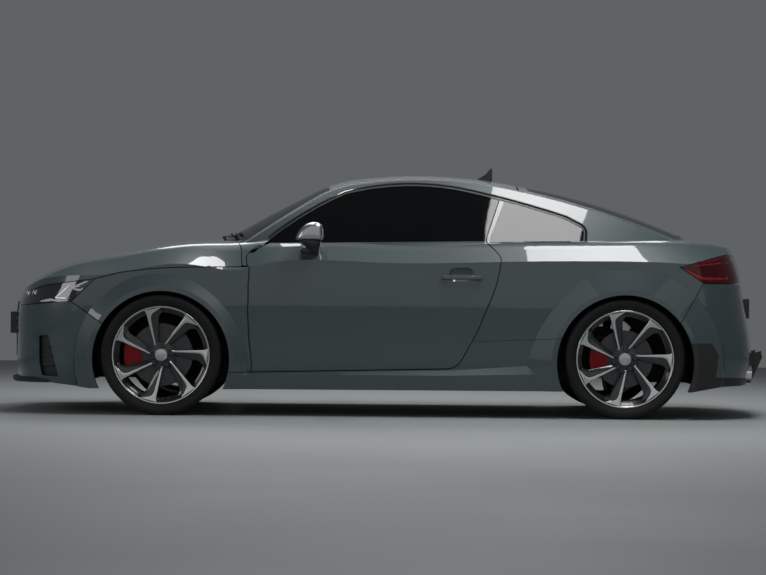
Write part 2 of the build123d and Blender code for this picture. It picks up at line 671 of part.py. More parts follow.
def hood(shell):
    """Hood panel with its two hinge arms."""
    side = polygon(HOOD_SIDE_LINE + [(-600, 1500), (-2200, 1500)])
    panel = shell & side_prism(shrunk(side), -BIG, BIG) & hood_space(-SHUT_GAP / 2)
    x, z, front = X_HOOD_PIN, Z_HOOD_PIN, X_HOOD_ARM_FRONT
    bend = x - 45
    profile = [(x, z - 9), (bend, z - 30), (front, z - 30), (front, 925), (front + 20, 925), (front + 20, z - 14),
               (bend, z - 14), (x, z + 7)]
    for y in (-HOOD_ARM_Y, HOOD_ARM_Y):
        panel = panel + hinge_arm(profile, x, z, y, HOOD_PIN_RADIUS, HOOD_EYE_RADIUS)
    return panel


def hatch(shell):
    """Hatch frame, deck and tail panel round the rear window, with its two hinge arms."""
    tail_panel = block(1500, BIG, -TAIL_LAMP_INNER_Y + 5, TAIL_LAMP_INNER_Y - 5, Z_TAIL_SHUT + 3, 930)
    space = plan_prism(shrunk(hatch_plan()), 896, BIG) & block(ROOF_REAR_X + HATCH_GAP, BIG, -BIG, BIG, 0, BIG)
    lid = shell & (space + tail_panel)
    lid = lid - plan_prism(grown(outline(REAR_WINDOW), 2 * SEAT_CLEARANCE), 850, BIG)
    thickness, reach = HATCH_LIP
    lid = lid - (block(0, ROOF_REAR_X + HATCH_GAP + reach, -BIG, BIG, 0, BIG) & (Pos(0, 0, -thickness) * ROOF_COVER))
    x, z = X_HATCH_PIN, Z_HATCH_PIN
    profile = [(x - 7, z), (x - 7, 1163), (752, 1163), (752, z), (738, z), (738, 1177), (x + 7, 1177), (x + 7, z)]
    for y in (-HATCH_ARM_Y, HATCH_ARM_Y):
        lid = lid + hinge_arm(profile, x, z, y, HATCH_PIN_RADIUS, HATCH_EYE_RADIUS)
    return lid


def cowl(shell):
    """Panel between the hood and the windscreen's foot, notched for the hood's arms."""
    panel = shell & block(-1100, -745, 4 - COWL_HALF, COWL_HALF - 4, 700, BIG)
    panel = panel - hood_space(SHUT_GAP / 2) - plan_prism(grown(screen_plan(), 1), 0, BIG)
    for y in (-HOOD_ARM_Y, HOOD_ARM_Y):
        panel = panel - block(-900, -700, y - 14, y + 14, 700, 1000)
    return max(panel.solids(), key=lambda one: one.volume)


def side_panels(nodes, left):
    """Fenders, sills, quarter panels and roof rails, from the left half of the shell."""
    roof_cut = plan_prism(grown(roof_plan(), 3), 1000, BIG) + plan_prism(grown(hatch_plan()), 896, BIG)
    roof_cut = roof_cut + plan_prism(grown(screen_plan(), 1), 850, BIG)
    roof_cut = roof_cut + block(1500, BIG, -TAIL_LAMP_INNER_Y, TAIL_LAMP_INNER_Y, Z_TAIL_SHUT, 1000)
    body = left - [door_space(SHUT_GAP), side_prism(window_face(0), -BIG, -200), roof_cut]

    face = polygon([LAMP_REAR_TOP, *HOOD_SIDE_LINE[4:7], (-690, 807), (-690, 237), SILL_LINE[0],
                    BUMPER_ARCH_POINT, LAMP_LOW_LINE[-1]])
    nodes["front_fenders"] = both_sides(body & side_prism(shrunk(face), -BIG, -500))
    face = polygon([*SILL_LINE, (960, 100), (-900, 100)])
    nodes["side_sills"] = both_sides(body & side_prism(shrunk(face, 2), -BIG, -500))
    split = QUARTER_SPLIT_X
    face = polygon([*SILL_LINE[2:], *TAIL_SEAM, *[p[:2] for p in TAIL_LAMP[1:4]],
                    (2200, 1500), (split, 1500), (split, Z_RAIL_FOOT), (300, Z_RAIL_FOOT), (300, SILL_LINE[2][1])])
    nodes["quarter_panels"] = both_sides(body & side_prism(shrunk(face, 2), -BIG, -300))
    edge = split + 1 - SEAT_CLEARANCE
    face = polygon([(edge, Z_RAIL_FOOT + 1), (edge, 1500), (-1000, 1500), (-1000, 813), (300, 813),
                    (300, Z_RAIL_FOOT + 1)])
    rail = (body & side_prism(face, -BIG, -300)) - door_nose(SHUT_GAP) - hood_space(SHUT_GAP / 2)
    rail = rail - block(-1100, -745, -COWL_HALF, 0, 0, BIG)
    nodes["roof_rails"] = both_sides(max(rail.solids(), key=lambda one: one.volume))


def door_hinge_halves(door):
    """The door with pockets for its hinges and the barrels that turn on the pins."""
    half = DOOR_BARREL_HEIGHT / 2
    x, y = X_DOOR_PIN, -Y_DOOR_PIN
    for z in DOOR_HINGE_HEIGHTS:
        pocket = Pos(x, y, z) * Cylinder(HINGE_POCKET_RADIUS, 5 * half)
        pocket = pocket + block(x - 100, x, y - 25, -600, z - 2.5 * half, z + 2.5 * half)
        barrel = Pos(x, y, z) * Cylinder(DOOR_BARREL_RADIUS, 2 * half)
        barrel = barrel + block(x, x + 60, y - 9, y + 5, z - half, z + half)
        door = (door - pocket) + (barrel - Pos(x, y, z) * Cylinder(DOOR_PIN_RADIUS + PIN_CLEARANCE, 4 * half))
    return door


def doors_and_side_glass(nodes, skin_left):
    """Doors with their panes, the quarter windows and the posts between them."""
    space = door_space(0)
    door = door_hinge_halves((skin_left & space) - door_inner())
    front = (X_GLASS_TIP, 2000)
    glass_face = window_face(GLASS_TUCK) & polygon([(X_GLASS_TIP, 0), *DOOR_GLASS_REAR, (625, 2000), front])
    pane = window_sides(GLASS_SINK) - window_sides(GLASS_SINK + GLASS)
    slot = window_sides(GLASS_SINK - SEAT_CLEARANCE) - window_sides(GLASS_SINK + GLASS + SEAT_CLEARANCE)
    low = polygon([(-2000, 0), (2000, 0), (2000, 970), (-2000, 970)])
    slot = slot & side_prism(grown(glass_face, 2 * SEAT_CLEARANCE) & low, -BIG, -400)
    x_low, x_high, y, z = HANDLE_BOWL
    bowl = rod_x(x_low, x_high, y, z, HANDLE_BOWL_RADIUS)
    bowl = bowl + [Pos(x, y, z) * Sphere(HANDLE_BOWL_RADIUS) for x in (x_low, x_high)]
    pair(nodes, "door", door - [slot, bowl])
    clear_face = offset(window_face(GLASS_TUCK), amount=-4.5, kind=Kind.INTERSECTION)
    clear_face = clear_face + (glass_face & outline(DOOR_SIDE))
    pair(nodes, "door_glass", pane & side_prism(clear_face & glass_face, -BIG, -400))
    rear_face = window_face(0) & polygon([*QUARTER_GLASS_FRONT, (662, 2000), (2000, 2000), (2000, 0), (548, 0)])
    nodes["quarter_glass"] = both_sides(pane & side_prism(shrunk(rear_face, 2 * SEAT_CLEARANCE), -BIG, -400))
    post_face = window_face(0) & polygon([(x + SHUT_GAP, z) for x, z in DOOR_GLASS_REAR]
                                         + [(x - 1, z) for x, z in reversed(QUARTER_GLASS_FRONT)])
    near = block(400, 800, -BIG, -400, 850, BIG)
    post = (window_sides(GLASS_SINK + 1) & near) - window_sides(RAIL_DEPTH)
    nodes["window_posts"] = both_sides(post & side_prism(shrunk(post_face, 2 * SEAT_CLEARANCE), -BIG, -400))


# ---------------------------------------------------------------- lamps and bumpers
def lamp(skin, core, face, inner_y, x_low, x_high):
    """Left lamp unit: flush with the skin, with a flange behind the panels round it."""
    reach = block(x_low, x_high, -BIG, -inner_y, 400, 950)
    front = (skin & (side_prism(shrunk(face, 4), -BIG, 0) & reach)) - core
    flange_face = grown(face, 2 * LAMP_FLANGE)
    inside = lower_form(PANEL + SEAT_CLEARANCE) & (side_prism(flange_face, -BIG, 0) & reach)
    return front + (inside - core)


def lamps(nodes, skin):
    """Headlamps and tail lamps."""
    core = lower_form(LAMP_DEPTH)
    nose = skin & block(-BIG, -1500, -BIG, -400, 450, 850)
    face = polygon([*HOOD_SIDE_LINE[:4], *reversed(LAMP_LOW_LINE)])
    nodes["headlamps"] = both_sides(lamp(nose, core, face, LAMP_INNER_Y + 1.5, -BIG, -1500))
    tail = skin & block(1500, BIG, -BIG, -400, 650, 950)
    nodes["tail_lamps"] = both_sides(lamp(tail, core, outline(TAIL_LAMP), TAIL_LAMP_INNER_Y + 1, 1500, BIG))


def front_bumper(nodes, shell):
    """Front bumper with its lip, the grille and the corner intakes set into it."""
    low_face = polygon([*LAMP_LOW_LINE, BUMPER_ARCH_POINT, (-1500, 100), (-2200, 100)])
    nose_face = polygon([(-2200, 500), *HOOD_SIDE_LINE[:2], (-1900, 680), (-1900, 500)])
    region = side_prism(shrunk(low_face), -BIG, BIG)
    region = region + side_prism(shrunk(nose_face), 1 - LAMP_INNER_Y, LAMP_INNER_Y - 1)
    mouth, corner = outline(GRILLE), outline(CORNER_INTAKE)
    vent = side_prism(corner, -BIG, -500)
    bumper = (shell & block(-BIG, -1400, -BIG, BIG, 0, 700)) & region
    nodes["front_bumper"] = bumper - [front_prism(mouth, -2300, -1850), vent, mirrored(vent)]
    nose = block(-BIG, -1700, -BIG, BIG, 100, 700)
    wall = (lower_sides(12) & nose) - lower_sides(30)
    nodes["grille"] = wall & front_prism(shrunk(mouth, 2 * SEAT_CLEARANCE), -2300, -1850)
    wall = (lower_sides(18) & nose) - lower_sides(36)
    nodes["corner_intakes"] = both_sides(wall & side_prism(shrunk(corner, 2 * SEAT_CLEARANCE), -BIG, -500))
    z_top = BODY_UNDERSIDE[0][1]
    row = (z_top - LIP_HEIGHT, 10, *WATERLINES[1][2:])
    plate = extrude(level_line(row, -LIP_REACH), amount=LIP_HEIGHT - SEAT_CLEARANCE)
    plate = plate - extrude(level_line(row, 60), amount=LIP_HEIGHT)
    under = polygon(BODY_UNDERSIDE + [(2200, 1600), (-2200, 1600)])
    nodes["front_lip"] = (plate & block(-BIG, X_LIP_REAR, -BIG, BIG, 0, 400)) - side_prism(under, -BIG, BIG)


def rear_bumper(nodes, shell):
    """Rear bumper, the black trim and diffuser below it, and the exhaust tips."""
    face = polygon([*TAIL_SEAM, (2200, 738), (2200, 100), (1560, 100)])
    bumper = (shell & block(1400, BIG, -BIG, BIG, 0, 760)) & side_prism(shrunk(face), -BIG, BIG)
    dark = side_prism(outline(TAIL_TRIM), -BIG, BIG) + front_prism(outline(DIFFUSER), 1900, 2200)
    pipe = rod_x(1850, X_TAIL, -EXHAUST_Y, Z_EXHAUST, EXHAUST_RADIUS + SEAT_CLEARANCE)
    pipes = [pipe, mirrored(pipe)]
    nodes["rear_bumper"] = bumper - dark - pipes
    trim = (bumper & dark) - pipes
    fin = side_prism(polygon(DIFFUSER_FIN), -6, 6)
    fins = [Pos(0, y, 0) * fin for y in DIFFUSER_FIN_Y]
    trim = trim + [one - lower_form(PANEL / 2) for one in fins]
    nodes["rear_diffuser"] = trim
    tips = rod_x(1850, X_EXHAUST_END, -EXHAUST_Y, Z_EXHAUST, EXHAUST_RADIUS)
    tips = tips - rod_x(1800, X_TAIL, -EXHAUST_Y, Z_EXHAUST, EXHAUST_RADIUS - 5)
    nodes["exhaust_tips"] = both_sides(tips)


# ---------------------------------------------------------------- floor and cabin
def floor_pan():
    """Floor, bulkhead, front pillars and load floor, with the four jacking pads."""
    low, high = Z_LOAD_FLOOR - FLOOR_DEPTH, Z_LOAD_FLOOR
    front = X_BULKHEAD
    line = [(front, 160), (860, 160), (930, low), (1940, low), (1940, high), (912, high), (842, 185), (front, 185)]
    pan = side_prism(polygon(line), -478, 478) + block(front, 880, -BIG, BIG, 160, 185)
    pan = pan + block(front, front + 22, -732, 732, 160, Z_BULKHEAD)
    pan = pan + block(front, -690, -732, 732, Z_BULKHEAD - 15, Z_BULKHEAD)
    pillar = block(-800, -660, -732, -690, 160, Z_BULKHEAD)
    pan = (pan + pillar + mirrored(pillar)) & lower_form(PANEL + SEAT_CLEARANCE)
    pads = [Pos(x, y, (JACK_PAD_Z + 165) / 2) * Cylinder(35, 165 - JACK_PAD_Z)
            for x in JACK_PAD_X for y in (-JACK_PAD_Y, JACK_PAD_Y)]
    return pan + pads


def cabin(nodes):
    """Seats, dashboard and steering wheel."""
    y = -SEAT_Y
    cushion = side_prism(outline([(-170, 185, 0), (330, 185, 0), (330, 402, 0), (-120, 420, 30), (-170, 390, 20)]),
                         y - 250, y + 250)
    back = side_prism(outline([(250, 385, 0), (372, 385, 0), (560, 985, 30), (468, 1000, 30)]), y - 240, y + 240)
    head = side_prism(outline([(455, 985, 0), (548, 985, 0), (578, 1130, 25), (500, 1136, 25)]), y - 130, y + 130)
    nodes["front_seats"] = both_sides(cushion + back + head)
    bench = side_prism(polygon([(640, 425), (640, 500), (960, 500), (1120, 880), (1190, 880), (1030, 425)]), -470, 470)
    nodes["rear_seat"] = bench & (Pos(0, 0, -60) * ROOF_COVER)
    dash = outline([(-690, 560, 0), (-560, 560, 20), (-470, 700, 30), (-470, 830, 30), (-560, 905, 40), (-690, 905, 0)])
    nodes["dashboard"] = side_prism(dash, -690, 690)
    ring = Torus(178, 14) + Cylinder(60, 24) + Box(350, 40, 16)
    column = Pos(0, 0, -75) * Cylinder(32, 150)
    place = Pos(-372, -SEAT_Y, 815) * Rot(0, 65, 0)
    nodes["steering_wheel"] = place * (ring + column) - nodes["dashboard"]


# ---------------------------------------------------------------- outside fittings
def mirror_unit():
    """Left door mirror: cap, lower shell and the foot on the door."""
    cap = side_prism(outline(MIRROR_CAP), -985, -845)
    cap = fillet(cap.faces().sort_by(Axis.Y)[0].edges(), 22)
    shell = side_prism(outline(MIRROR_SHELL), -962, -848)
    return cap + shell + block(-470, -420, -880, -785, 878, 915)


def fittings(nodes, skin_left):
    """Mirrors, door handles, antenna and the two blank plates."""
    pair(nodes, "mirror", mirror_unit() - skin_left)
    x_low, x_high, z_low, z_high = HANDLE_BOX
    bar = block(x_low, x_high, -913, -880, z_low, z_high)
    bar = fillet(bar.faces().sort_by(Axis.Y)[0].edges(), 6)
    bar = bar - block(x_low + 34, x_high - 40, -900, -850, z_low, z_high)
    pair(nodes, "door_handle", bar - skin_left)
    fin = side_prism(polygon([(499, 1315), (596, 1305), (596, 1382), (586, 1386), (560, 1352)]), -10, 10)
    nodes["antenna"] = fin - (Pos(0, 0, SEAT_CLEARANCE) * ROOF_COVER)
    front = block(X_FRONT_PLATE, X_FRONT_PLATE + 60, -260, 260, 425, 545) - lower_sides(12 - SEAT_CLEARANCE)
    rear = block(X_REAR_PLATE - 60, X_REAR_PLATE, -260, 260, 545, 655) - lower_sides(0)
    nodes["number_plates"] = Compound(children=[*front.solids(), *rear.solids()])


# ---------------------------------------------------------------- build
def build():
    """All nodes by name."""
    nodes = {}
    skin = body_skin()
    shell = body_shell(skin)
    nodes["hood"] = hood(shell)
    sunk = upper_form(GLASS_SINK, GLASS_SINK) - upper_form(GLASS_SINK + GLASS, GLASS_SINK + GLASS)
    nodes["windscreen"] = sunk & plan_prism(shrunk(screen_plan(), 2 * SEAT_CLEARANCE), 850, BIG)
    nodes["roof_panel"] = shell & plan_prism(shrunk(roof_plan(), 3), 1000, BIG)
    nodes["hatch"] = hatch(shell)
    nodes["rear_glass"] = sunk & plan_prism(outline(REAR_WINDOW), 850, BIG)
    nodes["cowl_panel"] = cowl(shell)
    side_panels(nodes, shell & block(-BIG, BIG, -BIG, -250, 0, BIG))
    skin_left = skin & block(-900, 700, -BIG, -400, 0, BIG)
    doors_and_side_glass(nodes, skin_left)
    lamps(nodes, skin)
    front_bumper(nodes, shell)
    rear_bumper(nodes, shell)
    wheels_and_brakes(nodes)
    nodes["front_subframe"] = front_subframe()
    nodes["rear_axle_beam"] = rear_axle_beam()
    nodes["arch_liners"] = arch_liners()
    nodes["floor_pan"] = floor_pan()
    x = X_FRONT_AXLE
    nodes["engine_block"] = block(x - 280, x + 290, -290, 290, Z_AXLE - 125, 760)
    nodes["body_hinges"] = body_hinges()
    cabin(nodes)
    fittings(nodes, skin_left)
    return nodes


if __name__ == "__main__":
    os.makedirs("parts", exist_ok=True)
    for old in os.listdir("parts"):
        os.remove(os.path.join("parts", old))
    for name, shape in build().items():
        export_step(shape, f"parts/{name}.step")
        print(name, len(shape.solids()), shape.is_valid)
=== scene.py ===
import cmath
import json
import math

import bmesh
import bpy
from mathutils import Matrix, Vector
from mathutils.bvhtree import BVHTree


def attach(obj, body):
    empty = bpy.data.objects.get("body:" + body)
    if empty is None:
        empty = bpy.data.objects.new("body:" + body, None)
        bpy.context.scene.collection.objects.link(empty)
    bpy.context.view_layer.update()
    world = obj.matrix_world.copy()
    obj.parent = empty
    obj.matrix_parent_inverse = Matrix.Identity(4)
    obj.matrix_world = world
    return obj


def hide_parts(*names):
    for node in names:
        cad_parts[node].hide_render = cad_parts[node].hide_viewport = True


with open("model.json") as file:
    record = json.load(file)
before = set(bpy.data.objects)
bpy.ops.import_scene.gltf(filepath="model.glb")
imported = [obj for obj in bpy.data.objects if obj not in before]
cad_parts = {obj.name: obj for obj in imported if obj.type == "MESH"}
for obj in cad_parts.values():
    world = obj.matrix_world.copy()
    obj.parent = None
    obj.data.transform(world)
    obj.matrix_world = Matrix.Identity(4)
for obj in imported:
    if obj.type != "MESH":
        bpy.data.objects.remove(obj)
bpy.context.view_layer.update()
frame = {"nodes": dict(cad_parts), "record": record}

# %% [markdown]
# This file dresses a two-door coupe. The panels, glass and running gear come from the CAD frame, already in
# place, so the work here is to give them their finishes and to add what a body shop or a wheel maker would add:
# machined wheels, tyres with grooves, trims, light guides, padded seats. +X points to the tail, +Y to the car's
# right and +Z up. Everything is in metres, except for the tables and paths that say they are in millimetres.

bpy.ops.object.select_all(action="DESELECT")
nodes = frame["nodes"]
slot_of = {part["node"]: part["material_slot"] for part in frame["record"]["subparts"]}
print("CAD nodes:", len(nodes))

# %% [markdown]
# Edit mode works on whatever is selected, so each step needs the same three moves: make one object active, enter
# edit mode, and pick faces by a rule. The first helpers are those moves, so that the later cells can read like a
# list of modelling steps. The last ones paint a piece and file it under a body, either alone or with a mirror
# image for the other side of the car.

# %% Helpers
def make_active(piece):
    """Only this object is selected and active."""
    bpy.ops.object.select_all(action="DESELECT")
    piece.select_set(True)
    bpy.context.view_layer.objects.active = piece


def edit(piece, kind="FACE"):
    """Enters edit mode with nothing selected."""
    make_active(piece)
    bpy.ops.object.mode_set(mode="EDIT")
    bpy.ops.mesh.select_mode(type=kind)
    bpy.ops.mesh.select_all(action="DESELECT")


def pick_faces(piece, rule):
    """Selects the faces for which the rule is true, and counts them."""
    mesh = bmesh.from_edit_mesh(piece.data)
    chosen = [face for face in mesh.faces if rule(face)]
    for face in chosen:
        face.select_set(True)
    bmesh.update_edit_mesh(piece.data)
    return len(chosen)


def select_all():
    """Selects the whole mesh in edit mode."""
    bpy.ops.mesh.select_all(action="SELECT")


def leave():
    """Back to object mode."""
    bpy.ops.object.mode_set(mode="OBJECT")


def leave_closed():
    """Turns all faces outwards and goes back to object mode."""
    select_all()
    bpy.ops.mesh.normals_make_consistent(inside=False)
    leave()


def move_extrusion(x, y, z):
    """Extrudes what is selected by a vector."""
    bpy.ops.mesh.extrude_region_move(TRANSFORM_OT_translate={"value": (x, y, z)})


def middle(face):
    """Centre of a face, as the mean of its corners."""
    points = [v.co for v in face.verts]
    return sum(points, Vector()) / len(points)


def modify(piece, kind, **values):
    """Adds a modifier and applies it."""
    make_active(piece)
    changer = piece.modifiers.new(kind.lower(), kind)
    for key, value in values.items():
        setattr(changer, key, value)
    bpy.ops.object.modifier_apply(modifier=changer.name)


def round_edges(piece, width, angle, segments=2):
    """Bevels the edges that are sharper than an angle in degrees."""
    modify(piece, "BEVEL", width=width, segments=segments, limit_method="ANGLE", angle_limit=math.radians(angle))


def bake_place(piece, matrix):
    """Writes a place into the mesh, so that the object itself stays at the origin."""
    piece.data.transform(matrix)
    if matrix.determinant() < 0:
        piece.data.flip_normals()
    piece.data.update()
    return piece


def copy_of(piece, name, matrix):
    """A copy with its own mesh, placed by a matrix."""
    twin = piece.copy()
    twin.data = piece.data.copy()
    twin.name = twin.data.name = name
    bpy.context.collection.objects.link(twin)
    return bake_place(twin, matrix)


def join(pieces, name):
    """Joins pieces into the first."""
    make_active(pieces[0])
    for piece in pieces:
        piece.select_set(True)
    bpy.ops.object.join()
    pieces[0].name = pieces[0].data.name = name
    return pieces[0]


def smooth(piece, angle):
    """Smooth shading, with the edges sharper than an angle in degrees kept."""
    make_active(piece)
    bpy.ops.object.shade_smooth_by_angle(angle=math.radians(angle))


def paint(piece, *names, rule=None):
    """Gives a piece its finishes. The rule returns the number of a face's finish from its centre and normal."""
    piece.data.materials.clear()
    for name in names:
        piece.data.materials.append(FINISHES[name])
    for face in piece.data.polygons:
        face.material_index = rule(face.center, face.normal) if rule else 0


def finish(piece, body, slot, *names):
    """Files a finished piece under its body and gives it its finishes. The slot is not used."""
    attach(piece, body)
    if names:
        paint(piece, *names)
    return piece


MIRRORED = Matrix.Scale(-1, 4, (0, 1, 0))


def both(piece, body, slot, *names, other=None):
    """Files a left piece and a mirror-image copy for the right side."""
    name = piece.name
    twin = copy_of(piece, f"{name}_right", MIRRORED)
    piece.name = piece.data.name = f"{name}_left"
    finish(piece, body, slot, *names)
    finish(twin, other or body, slot, *names)
    return piece, twin


def trim(piece, name="moulded_black"):
    """Files a trim of the body, on both sides."""
    both(piece, "body", "black_trim", name)


# %% [markdown]
# A turned part, such as a tyre, a barrel or a bolt, is a profile carried round an axle. Here the profile is a
# table of radius and place along the axle. A ring of points is added as a circle, and each further row extrudes
# it and sets its size, which is how a vase is pulled up by hand.

# %% Turned parts
WELD = 5e-5


def lathe(name, rows, segments, closed=False):
    """Turned shape about the Y axis from rows of (radius, y)."""
    bpy.ops.mesh.primitive_circle_add(vertices=segments, radius=1, rotation=(math.pi / 2, 0, 0))
    piece = bpy.context.object
    piece.name = name
    bpy.ops.object.transform_apply(location=False, rotation=True, scale=False)
    edit(piece, "EDGE")
    select_all()
    for i, (radius, y) in enumerate([*rows, rows[0]] if closed else rows):
        if i:
            bpy.ops.mesh.extrude_region()
        mesh = bmesh.from_edit_mesh(piece.data)
        for v in mesh.verts:
            if v.select:
                flat = Vector((v.co.x, 0, v.co.z)).normalized() * max(radius, 1e-5)
                v.co = Vector((flat.x, y, flat.z))
        bmesh.update_edit_mesh(piece.data)
    select_all()
    bpy.ops.mesh.remove_doubles(threshold=WELD)
    leave_closed()
    return piece


# %% [markdown]
# A spoke is made of strips whose width changes along their length. A strip starts as a grid with one row of cells,
# and each cross line of the grid gets its place from a table. Extruding the strip gives it depth, and a bevel gives
# its edges the small radius that catches the light.

# %% Strips
def grid_lines(name, columns, lines):
    """Grid of so many columns of cells, with its points in order, line by line."""
    bpy.ops.mesh.primitive_grid_add(x_subdivisions=columns, y_subdivisions=lines - 1, size=1)
    piece = bpy.context.object
    piece.name = name
    return piece, sorted(piece.data.vertices, key=lambda v: (round(v.co.y, 4), v.co.x))


def strip(name, rows, depth, bevel):
    """Bar from rows of (left point, right point), carried by the depth vector."""
    piece, ordered = grid_lines(name, 1, len(rows))
    for i, (left, right) in enumerate(rows):
        ordered[2 * i].co, ordered[2 * i + 1].co = Vector(left), Vector(right)
    edit(piece)
    select_all()
    move_extrusion(*depth)
    leave_closed()
    round_edges(piece, bevel, 40)
    return piece


# %% [markdown]
# Finishes come next. Paint, rubber and leather all share a few effects: a fine mottling, a grain and a slow
# change of colour from place to place. Each effect is a node group, built once and given its own values in each
# material. A group puts out only values and normals, and the Principled shader stays in the material itself.

# %% Shared effects
def put(tree, socket, value):
    """Gives a socket a value, or a link from another socket."""
    if isinstance(value, bpy.types.NodeSocket):
        tree.links.new(value, socket)
    else:
        socket.default_value = value


def math_node(tree, operation, *values):
    """Math node with values or links as its inputs."""
    node = tree.nodes.new("ShaderNodeMath")
    node.operation = operation
    for socket, value in zip(node.inputs, values):
        put(tree, socket, value)
    return node.outputs[0]


def color_mix(tree, factor, dark, light):
    """Mix of two colours."""
    node = tree.nodes.new("ShaderNodeMix")
    node.data_type = "RGBA"
    for label, value in (("Factor", factor), ("A", dark), ("B", light)):
        put(tree, node.inputs[label], value)
    return node.outputs["Result"]


def noise_value(tree, vector, scale, detail=2.0):
    """Noise from 0 to 1 on a position."""
    node = tree.nodes.new("ShaderNodeTexNoise")
    for label, value in (("Vector", vector), ("Scale", scale), ("Detail", detail)):
        put(tree, node.inputs[label], value)
    return node.outputs["Fac"]


def mottle(group, start):
    """Slow change between two values over the surface."""
    wave = noise_value(group, start["Position"], start["Scale"], 3.0)
    spread = math_node(group, "SUBTRACT", start["High"], start["Low"])
    return math_node(group, "ADD", math_node(group, "MULTIPLY", wave, spread), start["Low"])


def grain(group, start):
    """Fine bumps of a moulded, cast or sprayed surface."""
    bump = group.nodes.new("ShaderNodeBump")
    bump.inputs["Distance"].default_value = 0.001
    put(group, bump.inputs["Strength"], start["Height"])
    put(group, bump.inputs["Height"], noise_value(group, start["Position"], start["Scale"]))
    return bump.outputs["Normal"]


def tint(group, start):
    """Colour that drifts between two shades."""
    wave = noise_value(group, start["Position"], start["Scale"], 3.0)
    return color_mix(group, wave, start["Dark"], start["Light"])


def build_effect(build, inputs, result, kind):
    """Node group with a position, a scale and further inputs, filled in by one of the functions above."""
    group = bpy.data.node_groups.new(build.__name__, "ShaderNodeTree")
    for label, socket_kind in (("Position", "Vector"), ("Scale", "Float"), *inputs):
        group.interface.new_socket(label, in_out="INPUT", socket_type=f"NodeSocket{socket_kind}")
    group.interface.new_socket(result, in_out="OUTPUT", socket_type=f"NodeSocket{kind}")
    start, end = group.nodes.new("NodeGroupInput"), group.nodes.new("NodeGroupOutput")
    put(group, end.inputs[result], build(group, start.outputs))
    return group


EFFECTS = {
    "mottle": build_effect(mottle, (("Low", "Float"), ("High", "Float")), "Value", "Float"),
    "grain": build_effect(grain, (("Height", "Float"),), "Normal", "Vector"),
    "tint": build_effect(tint, (("Dark", "Color"), ("Light", "Color")), "Color", "Color"),
}
print("shared effects:", sorted(EFFECTS))

# %% [markdown]
# Every material starts the same way: a base colour that drifts a little, a roughness that does the same, and a
# grain of the right size. The table gives those values for each finish, and what is special to one finish, such as
# clear coat on paint or the shine of metal, is set on the shader's own sockets.

# %% Material maker
def effect(tree, name, **values):
    """Places a shared effect in a material and returns what it puts out."""
    node = tree.nodes.new("ShaderNodeGroup")
    node.node_tree = EFFECTS[name]
    for key, value in values.items():
        put(tree, node.inputs[key], value)
    return node.outputs[0]


def shade(color, factor):
    """Colour made lighter or darker."""
    return tuple(min(1.0, channel * factor) for channel in color) + (1.0,)


def position(tree):
    """The place of a point on its own piece."""
    return tree.nodes.new("ShaderNodeTexCoord").outputs["Object"]


def axis_value(tree, vector, axis):
    """One coordinate of a vector."""
    node = tree.nodes.new("ShaderNodeSeparateXYZ")
    put(tree, node.inputs["Vector"], vector)
    return node.outputs[axis]


def drifting(tree, color, scale, spread):
    """Colour that drifts by a share of itself to both sides."""
    return effect(tree, "tint", Position=position(tree), Scale=scale, Dark=shade(color, 1 - spread),
                  Light=shade(color, 1 + spread))


def make_finish(name, color, rough, bumps, drift, sockets=()):
    """Material with drifting colour and roughness and a fine grain."""
    material = bpy.data.materials.new(name)
    material.use_nodes = True
    tree = material.node_tree
    shader = tree.nodes["Principled BSDF"]
    put(tree, shader.inputs["Base Color"], drifting(tree, color, *drift))
    put(tree, shader.inputs["Roughness"],
        effect(tree, "mottle", Position=position(tree), Scale=drift[0] * 1.7, Low=rough[0], High=rough[1]))
    if bumps:
        put(tree, shader.inputs["Normal"],
            effect(tree, "grain", Position=position(tree), Scale=bumps[0], Height=bumps[1]))
    for key, value in dict(sockets).items():
        shader.inputs[key].default_value = value
    return material


def coat(weight, rough, **more):
    """Sockets of a clear coat."""
    return {"Coat Weight": weight, "Coat Roughness": rough, **more}


METAL = {"Metallic": 1.0}
RED_LENS = coat(0.7, 0.02) | {"Specular IOR Level": 0.1}
# Car glass lets some light through. Its shader has no transmission and a lower Alpha instead: the pane stays a
# clean mirror and darkens what lies behind it, with no noise from bent light in a thin shell.
GLASS_IOR = 1.45
